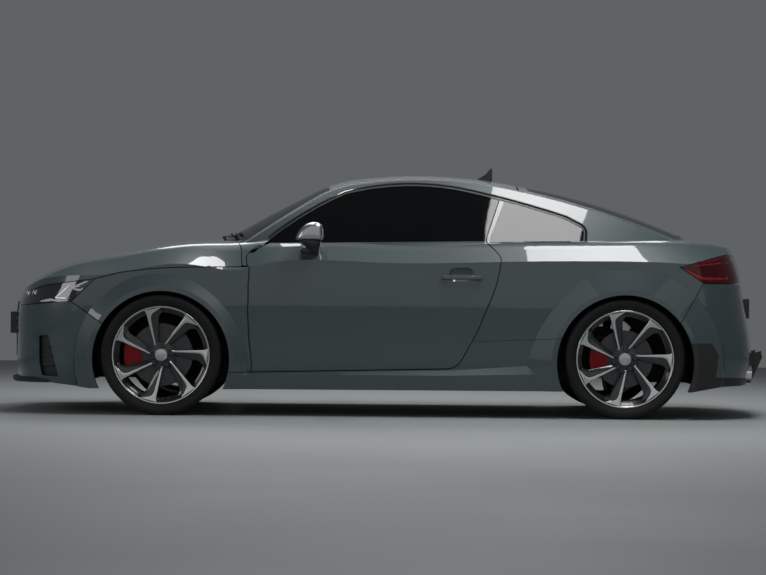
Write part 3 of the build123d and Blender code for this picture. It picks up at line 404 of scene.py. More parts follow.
# Columns: name, colour, roughness range, grain (scale, height), drift (scale, share), sockets.
FINISH_ROWS = [
    ("body_paint", (0.041, 0.066, 0.071), (0.36, 0.44), (260, 0.012), (1.2, 0.03), coat(1.0, 0.025)),
    ("gloss_black", (0.008, 0.008, 0.009), (0.12, 0.2), (300, 0.01), (4, 0.1), coat(0.6, 0.05)),
    ("moulded_black", (0.016, 0.016, 0.017), (0.42, 0.6), (1100, 0.12), (9, 0.12)),
    ("tyre_side", (0.011, 0.011, 0.0115), (0.55, 0.72), (700, 0.08), (14, 0.18), {"Specular IOR Level": 0.25}),
    ("tyre_tread", (0.018, 0.0178, 0.0175), (0.75, 0.9), (420, 0.35), (22, 0.25), {"Specular IOR Level": 0.3}),
    ("machined_alloy", (0.62, 0.63, 0.64), (0.2, 0.28), (1500, 0.03), (12, 0.06), METAL),
    ("dark_alloy", (0.02, 0.021, 0.023), (0.2, 0.3), (600, 0.03), (10, 0.1), coat(0.8, 0.06, Metallic=0.4)),
    ("satin_alloy", (0.5, 0.51, 0.53), (0.24, 0.32), (1300, 0.03), (8, 0.05), METAL),
    ("bright_metal", (0.72, 0.73, 0.74), (0.08, 0.16), (900, 0.02), (9, 0.05), METAL),
    ("disc_iron", (0.075, 0.075, 0.078), (0.3, 0.45), (1200, 0.12), (40, 0.12), {"Metallic": 0.9}),
    ("caliper_paint", (0.25, 0.003, 0.009), (0.28, 0.36), (500, 0.04), (16, 0.08),
     coat(0.35, 0.08) | {"Specular IOR Level": 0.1}),
    ("cast_metal", (0.05, 0.051, 0.053), (0.5, 0.7), (260, 0.5), (18, 0.2), {"Metallic": 0.6}),
    ("underbody", (0.018, 0.018, 0.019), (0.65, 0.85), (350, 0.4), (8, 0.2)),
    ("cabin_plastic", (0.022, 0.022, 0.023), (0.5, 0.62), (1500, 0.2), (12, 0.08)),
    ("seat_leather", (0.02, 0.0195, 0.02), (0.42, 0.55), (650, 0.45), (20, 0.12)),
    ("lamp_red", (0.05, 0.0014, 0.004), (0.06, 0.1), None, (8, 0.15), RED_LENS),
    ("lamp_bright_red", (0.33, 0.008, 0.02), (0.1, 0.2), (900, 0.1), (30, 0.1), RED_LENS),
    ("lamp_dark", (0.018, 0.019, 0.021), (0.06, 0.1), None, (9, 0.2), coat(1.0, 0.02)),
    ("lamp_guide", (0.66, 0.69, 0.7), (0.2, 0.3), (800, 0.05), (20, 0.05), coat(0.6, 0.05)),
    ("plate_blank", (0.012, 0.012, 0.014), (0.25, 0.35), (900, 0.03), (10, 0.1)),
    ("mirror_glass", (0.8, 0.81, 0.82), (0.01, 0.03), None, (3, 0.02), METAL),
    ("screen_glass", (0.012, 0.018, 0.018), (0.02, 0.035), None, (2, 0.05), {"Alpha": 0.72, "IOR": GLASS_IOR}),
    ("privacy_glass", (0.002, 0.0024, 0.0027), (0.02, 0.035), None, (2, 0.05), {"Alpha": 0.93, "IOR": GLASS_IOR}),
]
FINISHES = {row[0]: make_finish(*row) for row in FINISH_ROWS}
print("finishes:", len(FINISHES))

# %% [markdown]
# A number plate has a pale blank face in a black frame. The mask keeps the face away from the edges of the plate,
# and there is one band of height for the front plate and one for the rear plate.

# %% Blank plates
PLATE_MIDDLES, PLATE_HALF_WIDTH, PLATE_HALF_HEIGHT = (0.485, 0.6), 0.25, 0.047
PLATE_FACE = (0.50, 0.51, 0.51)


def closer_than(tree, value, center, limit):
    """1 where a value is nearer to the centre than the limit, and 0 elsewhere."""
    distance = math_node(tree, "ABSOLUTE", math_node(tree, "SUBTRACT", value, center))
    return math_node(tree, "LESS_THAN", distance, limit)


tree = FINISHES["plate_blank"].node_tree
base = tree.nodes["Principled BSDF"].inputs["Base Color"]
height = axis_value(tree, position(tree), "Z")
bands = [closer_than(tree, height, z, PLATE_HALF_HEIGHT) for z in PLATE_MIDDLES]
across = closer_than(tree, axis_value(tree, position(tree), "Y"), 0.0, PLATE_HALF_WIDTH)
mask = math_node(tree, "MULTIPLY", across, math_node(tree, "MAXIMUM", *bands))
put(tree, base, color_mix(tree, mask, base.links[0].from_socket, drifting(tree, PLATE_FACE, 9.0, 0.05)))
print("blank plates: pale face, black frame")

# %% [markdown]
# The CAD nodes already have the right shape, so they only change their material. The record names a slot for each
# node. A slot gets the finish of the same name, or the one in the first table, and the second table lists the
# nodes that are an exception.

# %% Finishes on the CAD nodes
SLOT_FINISH = {
    "black_trim": "moulded_black", "clear_glass": "screen_glass", "dark_glass": "privacy_glass",
    "tyre_rubber": "tyre_side", "wheel_alloy": "dark_alloy", "chassis_metal": "cast_metal",
    "floor_metal": "underbody", "lamp_clear": "lamp_dark", "mirror_cap": "satin_alloy",
    "exhaust_chrome": "bright_metal",
}
NODE_FINISH = {
    "window_posts": "gloss_black", "grille": "gloss_black", "number_plates": "plate_blank",
    "arch_liners": "underbody", "floor_pan": "underbody", "rear_calipers": "caliper_paint",
}
for node_name, slot in slot_of.items():
    mesh = nodes[node_name].data
    mesh.materials.clear()
    mesh.materials.append(FINISHES[NODE_FINISH.get(node_name) or SLOT_FINISH.get(slot, slot)])
print("CAD nodes with a finish:", len(slot_of))

# %% [markdown]
# The wheels are the brightest thing on the car. A real rim of this kind is cast, painted dark all over, and then
# turned on a lathe, so that only the faces that stand furthest out are bare metal. That is why the blades of the
# spokes and the thin edge of the rim shine while everything behind them is nearly black. The barrel is a turned
# part: the table walks from the outer lip through the drop centre to the inner lip and back along the outside.

# %% Barrel of a wheel
BARREL = [(0.2565, -0.1135), (0.2588, -0.1145), (0.2625, -0.1145), (0.2655, -0.1125), (0.2655, -0.1062),
          (0.2578, -0.1050), (0.2502, -0.0825), (0.2362, -0.0505), (0.2362, 0.0505), (0.2502, 0.0845),
          (0.2578, 0.1055), (0.2655, 0.1060), (0.2655, 0.1145), (0.2525, 0.1145), (0.2460, 0.0945),
          (0.2300, 0.0600), (0.2265, 0.0500), (0.2265, -0.0400), (0.2300, -0.0480), (0.2335, -0.0500),
          (0.2350, -0.0640), (0.2385, -0.0660), (0.2400, -0.0800), (0.2425, -0.0820), (0.2445, -0.0950),
          (0.2475, -0.0970), (0.2490, -0.1080), (0.2540, -0.1105)]
MACHINED_LIP = -0.1125
CAST_AND_MACHINED = ("dark_alloy", "machined_alloy")

barrel = lathe("barrel", BARREL, 144, closed=True)
smooth(barrel, 28)
paint(barrel, *CAST_AND_MACHINED, rule=lambda at, normal: int(at.y < MACHINED_LIP))
print("barrel faces:", len(barrel.data.polygons))

# %% [markdown]
# One spoke has two parts. The blade is the bright one: it is narrow at the hub, grows slowly wider, and near the
# rim it turns into a foot that runs along the rim on one side only. The flank is a dark slope that falls away from
# the blade's other edge. Both are strips for a spoke that points straight up.

# %% One spoke
# Columns, in millimetres: x and z of the left end, x and z of the right end, how far out the two ends stand.
BLADE_ROWS = [
    (-24, 58, -14, 58, 90, 90), (-22.5, 85, -13, 84, 97, 97), (-23, 120, -12, 120, 102, 102),
    (-24, 165, -9.5, 165, 106, 106), (-24.5, 205, -7, 203, 108.5, 108.5), (-25, 224, 0, 221, 109.5, 109.5),
    (-26, 236, 14, 231, 110, 110), (-28, 243.5, 36, 239, 110.5, 110.5), (-31, 250, 54, 244.5, 111, 111),
    (-37, 254.3, 64, 248.9, 111, 111),
]
FLANK_ROWS = [
    (-15, 60, 3, 60, 88, 76), (-14, 85, 8, 88, 94, 82), (-12.5, 120, 15, 118, 99, 87),
    (-10, 165, 25, 160, 103, 91), (-7.5, 203, 35, 201, 105, 95), (-0.5, 221, 49, 216, 106, 97),
    (13.5, 231, 64, 227, 106.5, 99), (35, 239, 76, 234, 107, 101),
]


def spoke_strip(name, rows, depth, bevel):
    """Strip of a spoke from its table."""
    lines = [((xl / 1000, -dl / 1000, zl / 1000), (xr / 1000, -dr / 1000, zr / 1000))
             for xl, zl, xr, zr, dl, dr in rows]
    return strip(name, lines, (0, depth, 0), bevel)


blade = spoke_strip("blade", BLADE_ROWS, 0.030, 0.0014)
paint(blade, *CAST_AND_MACHINED, rule=lambda at, normal: int(normal.y < -0.55))
flank = spoke_strip("flank", FLANK_ROWS, 0.016, 0.003)
paint(flank, "dark_alloy")
smooth(blade, 30)
smooth(flank, 50)
spoke = join([flank, blade], "spoke")
print("one spoke:", len(spoke.data.polygons), "faces")

# %% [markdown]
# The hub ties the spokes together. It is a dish with a raised pad between the bolt holes, five bolts in their
# wells, and a plain round cap in the middle. The bolts are hexagons, made once as a six-sided cone and copied
# round the hub.

# %% Hub, bolts and cap
BOLTS, BOLT_RADIUS, FIRST_BOLT = 5, 0.056, 8


def turned(name, finish_name, angle, segments, rows, closed=False):
    """Turned part of one finish."""
    piece = lathe(name, rows, segments, closed)
    paint(piece, finish_name)
    smooth(piece, angle)
    return piece


def round_axle(piece, count, first):
    """Copies of a piece, evenly round the axle from a first angle in degrees."""
    return [copy_of(piece, f"{piece.name}_{i}", Matrix.Rotation(math.radians(first + 360 / count * i), 4, "Y"))
            for i in range(count)]


hub = turned("hub", "dark_alloy", 30, 72, [
    (0, -0.0925), (0.036, -0.0925), (0.040, -0.0905), (0.0405, -0.0865), (0.0725, -0.0855), (0.0745, -0.0830),
    (0.0750, -0.0640), (0.0700, -0.0620), (0, -0.0620)])
cap = turned("cap", "satin_alloy", 25, 72, [
    (0, -0.0985), (0.012, -0.0983), (0.024, -0.0974), (0.0285, -0.0962), (0.0300, -0.0968), (0.0325, -0.0963),
    (0.0336, -0.0945), (0.0336, -0.0915)])
well = turned("well", "dark_alloy", 30, 24, [(0.0155, -0.0864), (0.0175, -0.0880), (0.0190, -0.0864)], True)
bake_place(well, Matrix.Translation((0, 0, BOLT_RADIUS)))

bpy.ops.mesh.primitive_cone_add(vertices=6, radius1=0.0105, radius2=0.0098, depth=0.014,
                                rotation=(math.pi / 2, 0, 0), location=(0, -0.0905, BOLT_RADIUS))
bolt = bpy.context.object
bolt.name = "bolt"
bpy.ops.object.transform_apply()
edit(bolt)
pick_faces(bolt, lambda face: face.normal.y < -0.9)
bpy.ops.mesh.inset(thickness=0.0022)
move_extrusion(0, 0.004, 0)
leave()
modify(bolt, "BEVEL", width=0.0006, segments=2)
paint(bolt, "disc_iron")
bolts = round_axle(bolt, BOLTS, FIRST_BOLT) + round_axle(well, BOLTS, FIRST_BOLT)
print("bolts and wells:", len(bolts))

# %% [markdown]
# Seven copies of the spoke stand round the hub, the first a little left of straight up. All of it becomes one
# piece. The same rim then serves all four wheels: on the right side of a car the wheel is turned half round, so
# its spokes lean the other way, and it is not a mirror image.

# %% The four rims
SPOKES, FIRST_SPOKE = 7, -13.8
WHEELS = {"front": (-1.2155, 0.786), "rear": (1.2895, 0.776)}
Z_WHEEL = 0.325

rim = join([barrel, *round_axle(spoke, SPOKES, FIRST_SPOKE), hub, cap, *bolts], "rim")
for one in (spoke, bolt, well):
    bpy.data.objects.remove(one)


def fit_wheels(piece, part, slot):
    """Puts a copy of a wheel part on each wheel, in place of the CAD node."""
    for end, (x, y) in WHEELS.items():
        for side, place in (("left", Matrix.Translation((x, -y, Z_WHEEL))),
                            ("right", Matrix.Translation((x, y, Z_WHEEL)) @ Matrix.Rotation(math.pi, 4, "Z"))):
            body = f"wheel_{end}_{side}"
            one = finish(copy_of(piece, f"{body}_{part}", place), body, slot)
            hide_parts(f"{end}_{part}_{side}")
    print(f"{part}:", len(piece.data.polygons), "faces, size", [round(v, 3) for v in piece.dimensions])
    bpy.data.objects.remove(piece)


fit_wheels(rim, "rim", "wheel_alloy")

# %% [markdown]
# A tyre is a turned part as well. Its profile starts at the bead, rolls over the rim's edge, swells into the
# sidewall with a few thin moulded rings, and turns at the shoulder into the tread, where four grooves run round
# it. The cross grooves are made afterwards: every fifth column of faces on the shoulder is pushed inwards, which
# leaves sixty blocks.

# %% Tyre
SIDE = [(0.2583, 0.1048), (0.2672, 0.1050), (0.2680, 0.1135), (0.2705, 0.1172), (0.2740, 0.1193),
        (0.2770, 0.1203), (0.2780, 0.1196), (0.2792, 0.1209), (0.2860, 0.1239), (0.2940, 0.1264),
        (0.3000, 0.1271), (0.3010, 0.1263), (0.3025, 0.1262), (0.3035, 0.1270), (0.3090, 0.1262),
        (0.3138, 0.1240), (0.3150, 0.1229), (0.3165, 0.1222), (0.3192, 0.1192), (0.3216, 0.1142)]
TREAD = [(0.3232, 0.1080), (0.3239, 0.0960), (0.3242, 0.0845), (0.3172, 0.0832), (0.3172, 0.0752),
         (0.3244, 0.0739), (0.3248, 0.0560), (0.3249, 0.0330), (0.3178, 0.0318), (0.3178, 0.0204),
         (0.3249, 0.0190)]
TYRE = [(r, -y) for r, y in SIDE + TREAD] + [(r, y) for r, y in reversed(SIDE + TREAD)]
COLUMNS, COLUMNS_PER_BLOCK, GROOVE_DEPTH = 300, 5, 0.0045
SHOULDER_RADIUS, SHOULDER_Y, OUTER_RIB = 0.3215, 0.0845, (0.056, 0.074)
TREAD_RADIUS, TREAD_Y = 0.3165, 0.119
tyre = lathe("tyre", TYRE, COLUMNS, closed=True)


def cross_groove(face):
    """True on the faces that become cross grooves in the shoulders and the outer ribs."""
    at = middle(face)
    if math.hypot(at.x, at.z) < SHOULDER_RADIUS or abs(face.normal.y) > 0.75:
        return False
    column = int((math.atan2(at.x, at.z) / (2 * math.pi) % 1.0) * COLUMNS) % COLUMNS_PER_BLOCK
    if abs(at.y) > SHOULDER_Y:
        return column == 0
    return OUTER_RIB[0] < abs(at.y) < OUTER_RIB[1] and column == 2


edit(tyre)
grooves = pick_faces(tyre, cross_groove)
bpy.ops.mesh.extrude_region_shrink_fatten(TRANSFORM_OT_shrink_fatten={"value": -GROOVE_DEPTH})
leave()
paint(tyre, "tyre_side", "tyre_tread",
      rule=lambda at, normal: int(math.hypot(at.x, at.z) > TREAD_RADIUS and abs(at.y) < TREAD_Y))
smooth(tyre, 32)
print("tyre faces pushed in:", grooves)
fit_wheels(tyre, "tyre", "tyre_rubber")

# %% [markdown]
# Trims follow panels that are already there, so their points are found on the panels themselves. A ray goes in
# from one side of the car, or down from above, and where it meets the panel is a point of the trim. The normal at
# that point says which way the trim stands up. Finders from the left take x and z of a point, those from above x
# and y, and those from the nose and the tail y and z.

# %% Points on a panel
TREES = {}


def tree_of(node_name):
    """Search tree of a CAD node's faces, built once."""
    if node_name not in TREES:
        mesh = nodes[node_name].data
        TREES[node_name] = BVHTree.FromPolygons([v.co.copy() for v in mesh.vertices],
                                                [tuple(face.vertices) for face in mesh.polygons])
    return TREES[node_name]


def meet(node_names, start, direction):
    """Nearest point and outward normal where a ray meets one of the nodes."""
    start, direction = Vector(start), Vector(direction)
    hits = [tree_of(node_name).ray_cast(start, direction) for node_name in node_names]
    hits = [hit for hit in hits if hit[0] is not None]
    if not hits:
        raise ValueError(f"no panel at {[round(c, 3) for c in start]}")
    at, normal, _, _ = min(hits, key=lambda hit: hit[3])
    return at, (-normal if normal.dot(direction) > 0 else normal)


def finder(origin, direction):
    """Maker of finders. The first and second coordinate of a point, in millimetres, set where the ray starts."""
    def look_at(*node_names):
        return lambda u, v: meet(node_names, origin(u / 1000, v / 1000), direction)
    return look_at


from_left = finder(lambda x, z: (x, -2, z), (0, 1, 0))
from_above = finder(lambda x, y: (x, y, 3), (0, 0, -1))
from_front = finder(lambda y, z: (-4, y, z), (1, 0, 0))
from_behind = finder(lambda y, z: (4, y, z), (-1, 0, 0))


def along(points):
    """Finder and path for a ribbon whose points are already known."""
    return (lambda i: points[i]), [(i,) for i in range(len(points))]


# %% [markdown]
# A ribbon is the general trim: it runs along a line of such points, has a width at each, and is a little higher in
# the middle than at its edges, as rubber and bright strips are. It starts as a grid, three points wide, laid on
# the line, and Solidify gives it its thickness downwards, into the panel.

# %% Ribbons
def ribbon(name, find, path, widths, lift, crown, thickness=0.004):
    """Crowned strip along a path of panel points; widths in millimetres, one or one for each point."""
    points = [find(*row) for row in path]
    if isinstance(widths, (int, float)):
        widths = [widths] * len(points)
    piece, ordered = grid_lines(name, 2, len(points))
    for i, (at, normal) in enumerate(points):
        ahead = points[min(i + 1, len(points) - 1)][0] - points[max(i - 1, 0)][0]
        across = ahead.cross(normal).normalized() * widths[i] / 2000
        ordered[3 * i].co = at - across + normal * lift
        ordered[3 * i + 1].co = at + normal * (lift + crown)
        ordered[3 * i + 2].co = at + across + normal * lift
    middle_face = piece.data.polygons[len(piece.data.polygons) // 2]
    if middle_face.normal.dot(points[len(points) // 2][1]) < 0:
        piece.data.flip_normals()
    modify(piece, "SOLIDIFY", thickness=thickness, offset=-1)
    smooth(piece, 40)
    return piece


def arc(start, through, end, count):
    """Points of the circular arc through three (u, v) points."""
    first, middle_one, last = complex(*start), complex(*through), complex(*end)
    w = (last - first) / (middle_one - first)
    center = first + (middle_one - first) * (w - abs(w) ** 2) / (2j * w.imag)
    turn = cmath.phase((last - center) / (first - center))
    spots = [center + (first - center) * cmath.rect(1, turn * i / count) for i in range(count + 1)]
    return [(spot.real, spot.imag) for spot in spots]


# %% [markdown]
# The side windows sit in a black seal, and outside the seal a slim bright-black strip runs over the windows from
# the mirror to the rear tip, with a hairline seal on its outer edge. All three follow the window line, which is
# three arcs and a short corner, a few millimetres further out on the roof rail and, behind it, on the quarter
# panel.

# %% Strips over the side windows
# Points (x, z) in millimetres.
WINDOW_LINE = (arc((-672, 927), (-440, 1098), (-229, 1211), 12)
               + arc((-229, 1211), (90, 1259), (401, 1236), 10)[1:]
               + arc((401, 1236), (700, 1165), (975, 1083), 10)[1:]
               + [(1013, 1063)] + arc((1051, 1043), (1067.8, 1026), (1072.3, 1003), 6)
               + [(1070.5, 985), (1069, 968)])
# Columns: name, distance from the window line and width in millimetres, lift and crown, finish.
WINDOW_STRIPS = [
    ("window_seal", 3.5, 6.5, 0.0004, 0.0006, "moulded_black"),
    ("window_strip", 13, 11.5, 0.0014, 0.0022, "gloss_black"),
    ("window_outer_seal", 20.5, 3.5, 0.0003, 0.0003, "moulded_black"),
]


def moved_out(line, distance):
    """The window line shifted outwards, away from the glass."""
    rows = []
    for i, (x, z) in enumerate(line):
        (x0, z0), (x1, z1) = line[max(i - 1, 0)], line[min(i + 1, len(line) - 1)]
        length = math.hypot(x1 - x0, z1 - z0)
        rows.append((x - (z1 - z0) / length * distance, z + (x1 - x0) / length * distance))
    return rows


frame_side = from_left("roof_rails", "quarter_panels")
for name, distance, width, lift, crown, finish_name in WINDOW_STRIPS:
    line = moved_out(WINDOW_LINE[1:], distance)
    trim(ribbon(name, frame_side, line, width, lift, crown), finish_name)
print("window line:", len(WINDOW_LINE), "points,", len(WINDOW_STRIPS), "strips each side")

# %% [markdown]
# Under the glass the belt has its own seals: one on each door, which swings with it, and one on each quarter
# panel. They are thin, and the glass slides against them.

# %% Belt seals
# Width in millimetres, lift and crown.
BELT = (6, 0.0005, 0.0009)
# Points (x, z) in millimetres: the belt rises slowly over the door and goes on over the quarter panel.
belt_door = [(-640 + i * 58.4, 936.5 + 15.5 * (i / 20) - 2.5) for i in range(21)]
both(ribbon("belt_seal", from_left("door_left"), belt_door, *BELT),
     "door_left", "black_trim", "moulded_black", other="door_right")
belt_rear = [(556 + i * 56, 951.5 + i / 9) for i in range(10)]
trim(ribbon("belt_seal_rear", from_left("quarter_panels"), belt_rear, *BELT))
print("belt seals: 2 each side")

# %% [markdown]
# A door mirror is a smooth pod on a short black stem. The pod is silver on the outside, its lower shell is black,
# and the glass sits in its rear face. The pod's side outline is a table of points inside a unit square. A circle
# with as many corners is extruded from the outer end to the inner end, and each ring gets the outline, scaled to
# its own place. A subdivision surface then rounds it off.

# %% Rings of a given outline
def pod(name, shape, rings, place, levels):
    """Closed body from rings: shape is a list of (u, v), place(ring, u, v) gives each point."""
    bpy.ops.mesh.primitive_circle_add(vertices=len(shape), radius=1, fill_type="NGON")
    piece = bpy.context.object
    piece.name = name
    edit(piece)
    select_all()
    for i, ring in enumerate(rings):
        if i:
            bpy.ops.mesh.extrude_region()
        mesh = bmesh.from_edit_mesh(piece.data)
        if i:
            order = [next(e.other_vert(v) for e in v.link_edges if e.other_vert(v).select) for v in order]
        else:
            order = sorted(mesh.verts, key=lambda v: v.index)
        for v, (a, b) in zip(order, shape):
            v.co = Vector(place(ring, a, b))
        bmesh.update_edit_mesh(piece.data)
    leave_closed()
    modify(piece, "SUBSURF", levels=levels, render_levels=levels)
    return piece


# %% Mirror pod
POD_SHAPE = [(0.0, 0.02), (0.0, 0.12), (0.06, 0.34), (0.16, 0.58), (0.30, 0.79), (0.48, 0.94), (0.66, 1.0),
             (0.83, 0.96), (0.95, 0.84), (1.0, 0.64), (1.0, 0.38), (1.0, 0.10), (0.97, 0.0), (0.70, 0.0),
             (0.40, 0.0), (0.10, 0.0)]
CORNER = 1.12
SHELL_SHAPE = [tuple(wave(math.radians(a)) * (CORNER if a % 90 else 1.0) / 2 + 0.5
                     for wave in (math.cos, math.sin)) for a in range(0, 360, 30)]
# Columns, in millimetres: y, front x, rear x, low z, high z.
CAP_RINGS = [(-985, -440, -380, 975, 1018), (-983, -462, -362, 964, 1032), (-974, -482, -351, 955, 1044),
             (-955, -493, -346, 951, 1050), (-915, -495, -344, 950, 1051), (-880, -491, -344, 950, 1048),
             (-862, -484, -344, 951, 1043), (-848, -468, -350, 958, 1030), (-845, -440, -370, 975, 1010)]
FOOT_RINGS = [(-884, -468, -372, 884, 916), (-860, -470, -376, 880, 914), (-835, -474, -380, 876, 910),
              (-800, -478, -382, 874, 906)]
# Columns, in millimetres: z, front x, rear x, outer y, inner y.
SHELL_RINGS = [(956, -470, -356, -966, -858), (947, -474, -354, -968, -854), (938, -470, -354, -964, -850),
               (922, -450, -358, -946, -846), (904, -430, -362, -922, -838), (886, -412, -366, -896, -824),
               (875, -400, -370, -878, -806)]
CAP_PAINTED, CAP_BLACK, CAP_GLASS = 0, 1, 2
CAP_REAR, GLASS_SPAN, CAP_EDGE, CAP_BOTTOM = -0.347, (-0.3505, -0.3465), -0.3475, 0.9535


def pod_point(ring, a, b):
    """Point in metres on a ring that stands upright along the car."""
    y, x0, x1, z0, z1 = ring
    return (x0 + (x1 - x0) * a) / 1000, y / 1000, (z0 + (z1 - z0) * b) / 1000


def shell_point(ring, a, b):
    """Point in metres on a ring that lies flat."""
    z, x0, x1, y0, y1 = ring
    return (x0 + (x1 - x0) * a) / 1000, (y0 + (y1 - y0) * b) / 1000, z / 1000


def cap_part(at, normal):
    """Glass in the rear face, black round it and underneath, and paint elsewhere."""
    if normal.x > 0.9 and GLASS_SPAN[0] < at.x < GLASS_SPAN[1]:
        return CAP_GLASS
    return CAP_BLACK if at.z < CAP_BOTTOM or at.x > CAP_EDGE else CAP_PAINTED


mirror_cap = pod("mirror_cap", POD_SHAPE, CAP_RINGS, pod_point, 2)
edit(mirror_cap)
pick_faces(mirror_cap, lambda face: face.normal.x > 0.9 and middle(face).x > CAP_REAR)
bpy.ops.mesh.inset(thickness=0.004)
move_extrusion(-0.005, 0, 0)
leave()
paint(mirror_cap, "satin_alloy", "gloss_black", "mirror_glass", rule=cap_part)
mirror_shell = pod("mirror_shell", SHELL_SHAPE, SHELL_RINGS, shell_point, 2)
mirror_foot = pod("mirror_foot", SHELL_SHAPE, FOOT_RINGS, pod_point, 2)
for piece in (mirror_shell, mirror_foot):
    paint(piece, "gloss_black")
for piece in (mirror_cap, mirror_shell, mirror_foot):
    smooth(piece, 40)

mirror_pair = both(join([mirror_cap, mirror_shell, mirror_foot], "mirror"), "door_left", "mirror_cap",
                   other="door_right")
for piece, side in zip(mirror_pair, ("left", "right")):
    piece.name = piece.data.name = f"door_mirror_{side}"
    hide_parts(f"mirror_{side}")
print("mirror:", len(mirror_pair[0].data.polygons), "faces")

# %% [markdown]
# The headlamp is one dark, glossy lens. Behind it lie pale light guides: a hooked pair near the rear corner, a
# long slanting one and a low one in front of it, and a bright band along the lower edge. They are ribbons laid on
# the lens, because that close to the surface nobody can tell which side of it they are on.

# %% Light guides of the headlamp
# Lift, crown and thickness of a ribbon that lies in a lens.
IN_LENS = (0.0008, 0.0016, 0.003)
# Columns: name, path and widths in millimetres, finish.
GUIDES = [
    ("guide_upper", [(-1616, 719), (-1645, 707), (-1675, 693), (-1700, 681)], [5, 9, 11, 9], "lamp_guide"),
    ("guide_hook", [(-1698, 679), (-1672, 672), (-1654, 671), (-1642, 680)], [8, 11, 10, 5], "lamp_guide"),
    ("guide_tooth", [(-1690, 688), (-1672, 687), (-1660, 692)], [3, 6, 5], "lamp_guide"),
    ("guide_slant", [(-1712, 699), (-1738, 677), (-1768, 650), (-1792, 630)], [7, 11, 12, 8], "satin_alloy"),
    ("guide_low", [(-1795, 629), (-1765, 625), (-1738, 624), (-1714, 627)], [8, 12, 11, 6], "satin_alloy"),
    ("guide_band", [(-1880, 607), (-1850, 612), (-1822, 616), (-1792, 613)], [6, 13, 15, 8], "lamp_guide"),
]
lens = from_left("headlamps")
for name, path, widths, finish_name in GUIDES:
    both(ribbon(name, lens, path, widths, *IN_LENS), "body", "lamp_clear", finish_name)
print("light guides:", len(GUIDES), "each side")

# %% [markdown]
# Seen from the nose, the lens holds two square projector lamps side by side. Each is a shallow tapered box with a
# round glass bulge in it. The faces of a plain cube are inset and pushed back to make the socket. The table gives
# the bulge as shares of the lamp's size, with how far each ring stands out.

# %% Projector lamps
BULGE = [(0.27, 0.0), (0.26, -0.0015), (0.2, -0.0035), (0.1, -0.0048), (0, -0.0052)]
# The socket: depth, lift over the lens and where its floor starts in metres, the rest as shares of its width.
SOCKET_DEPTH, SOCKET_LIFT, SOCKET_FLOOR = 0.008, 0.0005, -0.002
SOCKET_HEIGHT, SOCKET_EDGE, SOCKET_CORNER = 0.72, 0.09, 0.06
# Columns: y and z in millimetres, width in metres.
PROJECTORS = [(-648, 652, 0.044), (-716, 656, 0.040)]


def facing(start, direction):
    """Turn that brings one direction onto another."""
    return Vector(start).rotation_difference(direction).to_matrix().to_4x4()


def projector(y, z, size):
    """Square lamp module on the lens at a place seen from the nose."""
    at, normal = from_front("headlamps")(y, z)
    bpy.ops.mesh.primitive_cube_add(size=1)
    socket = bpy.context.object
    socket.data.transform(Matrix.Diagonal((SOCKET_DEPTH, size, size * SOCKET_HEIGHT, 1)))
    edit(socket)
    pick_faces(socket, lambda face: face.normal.x < -0.9)
    bpy.ops.mesh.inset(thickness=size * SOCKET_EDGE)
    move_extrusion(SOCKET_DEPTH / 2, 0, 0)
    leave()
    round_edges(socket, size * SOCKET_CORNER, 50, 3)
    paint(socket, "satin_alloy", "lamp_dark", rule=lambda at, normal: int(normal.x < -0.9 and at.x > SOCKET_FLOOR))
    bulge = lathe("bulge", [(size * share, y) for share, y in BULGE], 32)
    bake_place(bulge, Matrix.Rotation(-math.pi / 2, 4, "Z"))
    paint(bulge, "bright_metal")
    smooth(bulge, 40)
    smooth(socket, 40)
    place = Matrix.Translation(at + normal * SOCKET_LIFT) @ facing((-1, 0, 0), normal)
    return bake_place(join([socket, bulge], "module"), place)


modules = [projector(*row) for row in PROJECTORS]
both(join(modules, "projector_lamps"), "body", "lamp_clear")
print("projector lamps:", len(PROJECTORS), "each side")

# %% [markdown]
# The tail lamp is dark red with two brighter bands, one that hooks down from its front tip and runs along the
# bottom, and a thin one above. Both turn the corner and go on across the back of the car.

# %% Bands of the tail lamp
# Columns: name, path on the side as (x, z), path on the back as (y, z) and widths, all in millimetres.
BANDS = [
    ("tail_band_low", [(1612, 815), (1640, 796), (1672, 777), (1706, 766), (1750, 763), (1800, 764), (1850, 767)],
     [(-660, 769), (-600, 771), (-540, 772), (-480, 772), (-445, 774)], [4, 9] + [14] * 9 + [8]),
    ("tail_band_high", [(1660, 834), (1700, 836), (1750, 842), (1800, 848), (1850, 852)],
     [(-660, 856), (-600, 860), (-540, 862), (-480, 863)], [3, 6] + [8] * 6 + [4]),
]
tail_side, tail_back = from_left("tail_lamps"), from_behind("tail_lamps")
for name, side_path, back_path, widths in BANDS:
    points = [tail_side(*row) for row in side_path] + [tail_back(*row) for row in back_path]
    both(ribbon(name, *along(points), widths, *IN_LENS), "body", "lamp_red", "lamp_bright_red")
print("tail lamp bands:", len(BANDS), "each side")

# %% [markdown]
# The mouth of the grille is filled with a honeycomb. One cell is a six-sided disc: its face is inset, the middle
# is deleted, and the ring that is left is pulled back to give the walls depth. The cells then stand in staggered
# rows wherever their centre falls inside the mouth, and every point slides back until it lies on the grille's own
# bowed surface. The rays that find the surface are drawn in a little towards the middle, so that none misses it.

# %% Honeycomb of the grille
CELL, CELL_WALL, CELL_DEPTH = 0.0205, 0.0034, 0.014
MOUTH = [(-0.300, 0.300), (0.300, 0.300), (0.430, 0.460), (0.360, 0.610), (-0.360, 0.610), (-0.430, 0.460)]
MOUTH_MARGIN, MOUTH_FLOOR = 0.014, 0.300
PITCH_Y, PITCH_Z = CELL * 1.5, CELL * math.sqrt(3)
# The middle of the mouth and, for each metre away from it, the distance at which the rays start, in millimetres.
MOUTH_MIDDLE, DRAWN_IN_Y, DRAWN_IN_Z = 455, 930, 900
BEHIND_FACE = 0.0135

